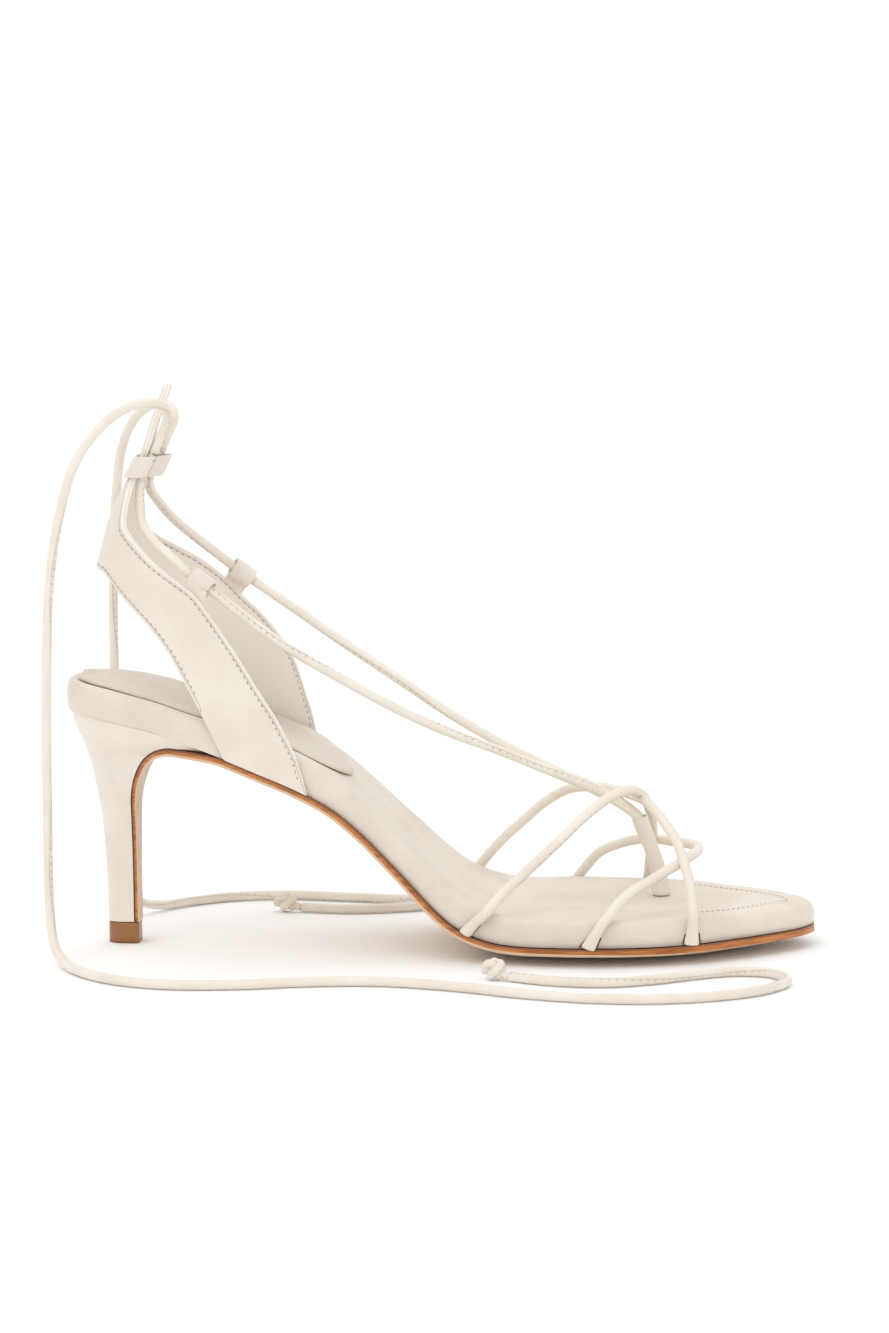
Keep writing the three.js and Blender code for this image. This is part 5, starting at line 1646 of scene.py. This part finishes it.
TIE_ROUTE = {
    Side.OUTER: (
        (31.7, -2.7, 163.4), (33.8, -4.9, 168.6), (33.8, -9.2, 172.6), (29.4, -14.4, 174.6),
        (22, -18.6, 172.8), (14, -21.6, 166.4), (7, -23.6, 156), (2, -24.6, 140), (-1.4, -25, 118),
        (-2.8, -25.2, 90), (-3.2, -25.6, 60), (-3.2, -26.4, 34), (-2.6, -29, 16.4),
        (-0.4, -35.4, 6), (4.4, -45, 2.3), (11, -56, 1.7), (24, -68, 1.7), (42, -74, 1.7),
        (62, -73, 1.7), (84, -68, 1.7), (106, -67, 1.7), (128, -73, 1.7), (148, -82, 1.7),
        (168, -88, 1.7), (188, -89, 1.7), (207, -84, 1.7), (222, -74, 1.7), (229, -61, 1.7),
        (224, -50, 1.7), (213, -48, 1.7), (201, -53, 1.7), (188, -61, 1.7), (173, -66, 1.7),
        (157, -64, 1.7), (144, -58, 1.7)),
    Side.INNER: (
        (32.8, 3.2, 163), (34.6, 6.2, 167.6), (33, 11.6, 171.2), (27, 18, 171.6), (20, 23.6, 167),
        (15, 27.2, 157.6), (12.4, 29, 142), (11, 29.6, 118), (10.6, 30, 90), (10.6, 30.6, 60),
        (10.8, 31.4, 34), (12, 34, 16), (15.4, 40, 5.8), (21.6, 48.6, 2.3), (31, 58.6, 1.7),
        (45, 67.4, 1.7), (63, 70.6, 1.7), (82, 68, 1.7), (100, 65, 1.7), (118, 67, 1.7),
        (135, 74, 1.7), (152, 82, 1.7), (170, 87, 1.7), (188, 87, 1.7), (202, 80, 1.7),
        (208, 68.5, 1.7), (204, 57, 1.7), (193, 51.5, 1.7), (178, 51.5, 1.7), (163, 55, 1.7),
        (148, 59, 1.7), (132, 60, 1.7), (116, 56, 1.7), (101, 50, 1.7), (85, 47, 1.7),
        (69, 49.5, 1.7)),
}


@dataclass
class VampStraps(Part):
    """The three rolled cords over the forefoot, joined where they cross."""

    node: str = "vamp_straps"
    leather: CreamLeather = RolledLeather("strap_leather", radius=1.6 * METRES)
    radius: float = 1.6
    strap_height: float = 50.0
    settle: float = 0.5
    draw_in: float = 0.35
    # sizes of the thin dark lines of painted shade beside the cords' feet
    shadow_radius: float = 0.2
    shadow_share: float = 0.42
    shadow_spread: float = 1.7
    shadow_closing: float = 0.35
    flare: float = 0.42
    facing: tuple[tuple[str, tuple[float, float, float]], ...] = (
        ("rear", (0.75, -0.5, -0.4)), ("cross", (0.85, -0.5, 0.1)), ("toe", (0.5, -0.3, -0.8)))

    def foot(self, side: Side, low: float, rim: float) -> Array:
        """Returns the three points of a cord's foot beside the bed.

        Args:
            side: the side that the foot stands on.
            low: its place on the outsole, as a share of foot length.
            rim: its place at the bed's rim.

        Returns:
            The points, from the outsole up.
        """
        share = np.array([low, (low + rim) / 2, rim])
        x = share * SHAPE.foot_length
        near = [SHAPE.half_width(side.value, x + step) for step in (-1, 0, 1)]
        off = (SHAPE.clearance + self.radius) * np.hypot(1, (near[2] - near[0]) / 2)
        floor = SHAPE.bed_edge(x[0]) + SHAPE.clearance * 2
        top = SHAPE.bed_rim(x[2])
        return np.column_stack([x, side.value * (near[1] + off), [floor, (floor + top) / 2, top]])

    def line(self, name: str) -> Array:
        """Returns a cord's middle line from its outer foot to its inner one."""
        arch = np.array(CORD_ROWS[name].rows) * (SHAPE.foot_length, SHAPE.ball_width,
                                                 self.strap_height)
        outer, inner = (self.foot(side, *CORD_FEET[name][side]) for side in Side)
        for foot in (outer, inner):
            foot[0, 2] -= self.settle
            foot[0, 1] *= 1 - self.draw_in / abs(foot[0, 1])
        return smooth_line(np.vstack([outer, arch, inner[::-1]]), 0.9)

    def build(self) -> Object:
        """Makes the three cords as one piece."""
        skins = [cord_skin(self.line(name), self.radius, facing, 0.35, self.flare)
                 for name, facing in self.facing]
        return Skin.joined(skins).to_object(self.node, 60)

    def trimmings(self) -> list[tuple[Object, ShadedThread]]:
        """Paints the shade in the gaps where the feet come out of the bed's cover, as thin dark lines.

        A line of painted shade climbs the bed's side behind and before its foot, a radius and a
        little more from the foot's middle line, and closes towards it as it rises.

        Returns:
            The lines of painted shade, as one piece, and their dark material.
        """
        skins = []
        rise = np.linspace(0, 1, 8)
        for feet in CORD_FEET.values():
            for side in Side:
                low, _, rim = self.foot(side, *feet[side])
                for way in (-1, 1):
                    x = (low[0] + (rim[0] - low[0]) * rise * self.shadow_share
                         + way * self.radius * (self.shadow_spread - self.shadow_closing * rise))
                    y = side.value * SHAPE.half_width(side.value, x)
                    z = low[2] - self.settle + (rim[2] - low[2]) * rise * self.shadow_share
                    skins.append(cord_skin(np.stack([x, y, z], axis=-1), self.shadow_radius,
                                           (0, side.value, 0), sides=8))
        # painted shade: thin dark lines where the feet meet the bed's cover
        return [(Skin.joined(skins).to_object("vamp_painted_shadows", 60),
                 ShadedThread("painted_foot_shadow", (96, 68, 48), (70, 48, 34)))]


@dataclass
class Lace(Part):
    """The two laces, from the toe post's mouth through the side keepers to the back keeper."""

    band: HeelBand
    node: str = "lace"
    leather: CreamLeather = RolledLeather("lace_leather", radius=1.5 * METRES)
    radius: float = 1.5
    sag: float = 6.3
    tuck: float = 1.6
    lead: float = 0.7
    apart: float = 1.07
    closed: float = 0.75
    post_height: float = 39.5
    keeper_at: tuple[tuple[float, float, float], ...] = ((0.1912, 0.404, 2.65), (0.229, 0.396, 1.45))
    facing: tuple[tuple[float, float, float], ...] = ((0.3, -0.45, 0.8), (-0.3, -0.5, -0.8))

    def keeper(self, side: Side) -> Array:
        """Returns the middle of a side keeper's hole, from its place along, height and depth."""
        along, height, inset = dict(zip(Side, self.keeper_at))[side]
        level = np.array(SHAPE.seat_height + height * self.band.height)
        around = self.band.around_at(side, along * SHAPE.foot_length, level)
        return self.band.point(around, level, inset * self.band.thickness)

    def route(self, side: Side) -> Array:
        """Returns the chosen points of one lace, from inside the post's mouth to its end."""
        top = np.array(POST.rows[-1][:3]) * (SHAPE.foot_length, SHAPE.ball_width, self.post_height)
        apart = self.radius * self.apart * side.value
        start = top + (self.lead, apart * self.closed, -self.tuck)
        mouth = top + (-self.lead, apart, self.lead)
        keeper = self.keeper(side)
        rows = np.array(LACE_RUN[side].rows)
        run = mouth + (keeper - mouth) * rows[:, :1]
        run[:, 1] = rows[:, 1] * SHAPE.ball_width
        run[:, 2] += rows[:, 2] * self.sag
        rear = np.array(LACE_REAR[side].rows) * (SHAPE.foot_length, SHAPE.ball_width,
                                                 self.band.height)
        rear[:, 2] += SHAPE.seat_height
        return np.vstack([start, mouth, run, keeper, rear])

    def build(self) -> Object:
        """Makes both laces as one piece."""
        skins = [cord_skin(smooth_line(self.route(side), 0.9), self.radius, facing, 0.8)
                 for side, facing in zip(Side, self.facing)]
        return Skin.joined(skins).to_object(self.node, 60)


@dataclass
class FreeTie:
    """A lace's free end past the back keeper, laid down uncoiled, with its stopper knot."""

    lace: Lace
    side: Side
    gap: float = 0.48
    knot_length: float = 9.0
    knot_radius: float = 3.6
    knot_shift: float = 0.51
    knot_cord: float = 1.25
    neck_gap: float = 0.12
    knot_ring: float = 1.6
    knot_swing: float = 0.85
    knot_size: tuple[float, float, float] = (1.18, 0.84, 1.9)

    @cached_property
    def line(self) -> Array:
        """The tie's middle line, from just past the lace's end along the chosen route."""
        route = self.lace.route(self.side)
        start = route[-1] + unit(route[-1] - route[-2]) * self.gap
        return smooth_line(np.vstack([start, TIE_ROUTE[self.side]]), 1.0)

    def build(self) -> tuple[Object, Object]:
        """Makes the tie and its knot."""
        tie = cord_skin(self.line, self.lace.radius, (0.2, self.side.value, 0.1))
        return (tie.to_object("tie_" + self.side.word, 60),
                self.knot().to_object("tie_knot_" + self.side.word, 60))

    def knot(self) -> Skin:
        """Makes the stopper knot: a cord round a tight flat trefoil, with a neck and a stub.

        The trefoil's radius swings three times while its angle turns twice, and its height goes
        as the sine of three times the parameter.

        Returns:
            The knot's skin.
        """
        before, end = np.array(TIE_ROUTE[self.side][-2:])
        up = np.array([0, 0, 1.0])
        ahead = unit((end - before) * (1, 1, 0))
        across = np.cross(up, ahead)
        middle = end + ahead * (self.knot_shift + self.knot_length / 2)
        middle[2] = self.knot_radius
        t = np.linspace(0, 2 * np.pi, 181)[:-1, None]
        swing = self.knot_ring + self.knot_swing * np.cos(3 * t)
        long, wide, high = self.knot_size
        line = (middle + swing * np.cos(2 * t) * long * ahead
                + swing * np.sin(2 * t) * wide * across + high * np.sin(3 * t) * up)
        stub = np.stack([middle + ahead * 1.5, middle + ahead * (self.knot_length / 2 - 0.2)
                         + across * 0.4 - up])
        neck = np.stack([end + ahead * self.neck_gap, end + ahead * 1.2 + up * 0.2,
                         middle - ahead * 1.6 - up * 0.6])
        return Skin.joined([cord_skin(path, self.knot_cord, up) for path in (
            np.vstack([line, line[:2]]), evenly(stub, 0.8), smooth_line(neck, 0.5))])

    def dress(self, tie: Object, knot: Object) -> None:
        """Gives tie and knot their rolled leather and lets them stand for their solids."""
        leather = RolledLeather("tie_leather_" + self.side.word, radius=self.lace.radius * METRES)
        for piece, name in ((tie, "tie_"), (knot, "tie_knot_")):
            wear(piece, leather.material())
            stand_for(piece, name + self.side.word)
        path = self.line * METRES + maker_shift()


@dataclass
class ToePost(Part):
    """The leather post between the toes, its open mouth holding the laces."""

    lace: Lace
    node: str = "toe_post"
    leather: CreamLeather = CreamLeather("post_leather", (237, 229, 219), grain=0.0005,
                                         roughness=0.48)
    radius: float = 3.1
    top_radius: float = 2.6
    mouth_widen: float = 0.35
    mouth_tilt: float = 0.35
    mouth_depth: float = 2.6
    lip: float = 0.55

    def build(self) -> Object:
        """Makes the post: rings square to its lean, turned in at the mouth over a soft lip.

        Returns:
            The post.
        """
        points = np.array(POST.rows)[:, :3] * (SHAPE.foot_length, SHAPE.ball_width,
                                               self.lace.post_height)
        points[0, 2] = SHAPE.bed_top(points[0, 0], SHAPE.flat_share) + SHAPE.clearance
        line = smooth_line(points, 0.4)
        t = np.linspace(0, 1, len(line))
        swells = zip(np.linspace(0, 1, len(POST.rows)).tolist(), POST.column("swell").tolist())
        swell = Table("along swell", tuple(swells)).read("swell", t)
        size = (self.radius + (self.top_radius - self.radius) * t) * swell
        size[:3] *= (0.9, 0.96, 0.99)
        roll = np.linspace(0, np.pi, 7)[1:]
        well = np.linspace(0.2, 1, 5)
        body = np.zeros(len(line))
        draw = np.concatenate([body, self.lip / 2 * (1 - np.cos(roll)), np.full(5, self.lip)])
        rise = np.concatenate([body, self.lip / 2 * np.sin(roll), -well * self.mouth_depth])
        full = np.minimum(np.arange(len(draw)), len(line) - 1)
        t, size, line = t[full, None], size[full, None], line[full]
        draw, rise = draw[:, None], rise[:, None]
        widen = 1 + self.mouth_widen * t * t
        tilt = self.mouth_tilt * np.maximum(0, 2 * t - 1)
        turn = np.linspace(0, 2 * np.pi, 36, endpoint=False)
        ahead = (size - draw) * np.cos(turn)
        rings = np.stack([line[:, :1] + ahead * np.cos(tilt) - rise * np.sin(tilt),
                          line[:, 1:2] + (size * widen - draw) * np.sin(turn),
                          line[:, 2:] + ahead * np.sin(tilt) + rise * np.cos(tilt)], axis=-1)
        return Skin.lofted(rings, Cap.FAN).to_object(self.node, 50)


@dataclass
class SideKeeper(Part):
    """A loop of leather round a lace, with its tail down the band's inner face."""

    lace: Lace
    side: Side
    wall: float = 0.8
    length: float = 7.4
    slack: float = 0.54
    headroom: float = 0.3
    squareness: float = 2.7
    skew: float = 0.7
    tail: float = 5.0
    soft: float = 0.3
    bulge: float = 0.14

    @property
    def node(self) -> str:
        """The keeper's node."""
        return "side_keeper_" + self.side.word

    def frames(self) -> tuple[Array, Array, Array, Array]:
        """Returns the keeper's middle, and its outward, upward and lengthways directions."""
        route = self.lace.route(self.side)
        at = len(LACE_RUN[self.side].rows) + 2
        axis = unit(route[at + 1] - route[at - 1])
        outward = unit(np.array([0, self.side.value, 0.0]) - axis * axis[1] * self.side.value)
        up = unit(-self.side.value * np.cross(axis, outward))
        return route[at], outward, up, axis

    def build(self) -> Object:
        """Makes the loop and its tail.

        The loop is a rounded rectangle round the lace, widened through the wall, whose own
        section is a thin rounded strip. The tail is a curved wall beside the band's lining.

        Returns:
            The keeper.
        """
        middle, outward, up, axis = self.frames()
        bore = self.lace.radius + self.slack
        turn = np.linspace(0, 2 * np.pi, 56, endpoint=False)[:, None]
        run, out = strip_section(self.length, self.wall, self.soft)
        grow = out + self.bulge * (1 - (2 * run / self.length) ** 2)
        flat, high = (np.sign(wave) * np.abs(wave) ** (2 / self.squareness)
                      for wave in (np.cos(turn), np.sin(turn)))
        rings = (middle + (flat * (bore + grow))[..., None] * outward
                 + (high * (bore + self.headroom + grow))[..., None] * up
                 + (run + self.skew * np.cos(turn))[..., None] * axis)
        loop = Skin.lofted(rings, None)
        return Skin.joined([loop, self._tail(middle, axis)]).to_object(self.node, 50)

    def _tail(self, middle: Array, axis: Array) -> Skin:
        """Makes the tail: a patch as long as the loop, a wall's depth inside the band.

        Args:
            middle: the middle of the loop.
            axis: the lace's direction there.

        Returns:
            The tail's skin.
        """
        band = self.lace.band
        half = self.length / 2 * math.hypot(axis[0], axis[2])
        shift = np.linspace(-half, half, 20)[:, None]
        drop = self.lace.radius * 0.6 + np.linspace(0, self.tail, 16)[None]
        x = middle[0] + axis[0] * shift - abs(axis[2]) * drop
        z = middle[2] + axis[2] * shift - abs(axis[0]) * drop
        around = band.around_at(self.side, x, z)
        near = band.thickness + SHAPE.clearance
        faces = [band.point(around, z, near + d) for d in (0.0, self.wall)]
        return Skin.lofted(np.concatenate([faces[0], faces[1][:, ::-1]], axis=1), Cap.LADDER)

    @property
    def leather(self) -> CreamLeather:
        """The keeper's cream leather."""
        return CreamLeather(self.node + "_leather", (231, 222, 211), (224, 213, 201), 0.0005)


@dataclass
class BackKeeper(Part):
    """The loop round the band's tab and both laces, behind the ankle."""

    lace: Lace
    node: str = "back_keeper"
    leather: CreamLeather = KeeperLeather()
    wall: float = 0.8
    height: float = 7.5
    start: float = 0.714
    tab_corner: float = 0.205
    slack: float = 0.36
    soft: float = 0.25
    corner_cut: float = 0.3

    def build(self) -> Object:
        """Makes the loop: a rounded many-sided outline carried up the tab's slope, as a wall.

        Returns:
            The keeper.
        """
        band, bore = self.lace.band, self.lace.radius + SHAPE.clearance
        low = SHAPE.seat_height + self.start * band.height
        back = band.point(0.0, np.array([low, low + self.height]), 0.0)
        axis = unit(back[1] - back[0])
        ahead = np.array([axis[2], 0, -axis[0]])
        reach = {side: (self.lace.route(side)[-2] - back[0]) @ ahead for side in Side}
        outer = reach[Side.OUTER] + bore
        inner = reach[Side.INNER] + bore * 1.5
        lane = self.lace.route(Side.INNER)[-2][1]
        tab = SHAPE.clearance - float(band.point(-self.tab_corner, low, 0.0)[1])

        def outline(grow: float) -> Array:
            """Returns the outline, grown outwards, with each corner cut round."""
            corners = np.array([
                (-self.slack - grow, -tab - grow), (outer * 0.75, -tab - grow),
                (outer + grow, -tab * 0.6), (inner + grow, lane - bore * 0.6),
                (inner + grow, lane + bore * 0.7), (inner * 0.72, tab + grow),
                (-self.slack - grow, tab + grow)])
            before, after = np.roll(corners, 1, axis=0), np.roll(corners, -1, axis=0)
            a, b = (corners + (beside - corners) * self.corner_cut for beside in (before, after))
            t = np.linspace(0, 1, 7)[None, :, None]
            arcs = ((1 - t) ** 2 * a[:, None] + 2 * t * (1 - t) * corners[:, None]
                    + t * t * b[:, None])
            return arcs.reshape(-1, 2)

        run, grown = strip_section(self.height, self.wall, self.soft)
        plan = np.stack([outline(g) for g in grown], axis=1)
        rise = np.broadcast_to(self.height / 2 + run, plan.shape[:2])
        up = rise - ahead[2] * plan[..., 0] / axis[2]
        rings = (back[0] + plan[..., :1] * ahead + plan[..., 1:] * np.array([0, 1.0, 0])
                 + up[..., None] * axis)
        lap = np.stack([plan[..., 0] / plan[..., 0].max(), rise / self.height,
                        np.where(plan[..., 1] < 0, 1.0, 0.0)], axis=-1)
        return Skin.lofted(rings, None, {"lap": lap}).to_object(self.node, 50)


def main() -> None:
    """Builds the scene, its camera and cords first."""
    logging.basicConfig(level=logging.INFO, format="%(message)s")
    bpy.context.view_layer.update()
    studio = Studio()
    studio.camera()
    band = HeelBand()
    lace = Lace(band)
    for side in Side:
        tie = FreeTie(lace, side)
        tie.dress(*tie.build())
        log.info("tie and knot on the %s side", side.word)
    for part in (band, Footbed(), HeelSock(), Outsole(), CoveredHeel(), TopPiece(), VampStraps(),
                 lace, ToePost(lace), *(SideKeeper(lace, side) for side in Side),
                 BackKeeper(lace)):
        piece = part.build()
        part.dress(piece)
        log.info("%s with %d faces", piece.name, len(piece.data.polygons))
    studio.floor()
    studio.lights()

if __name__ == "__main__":
    main()
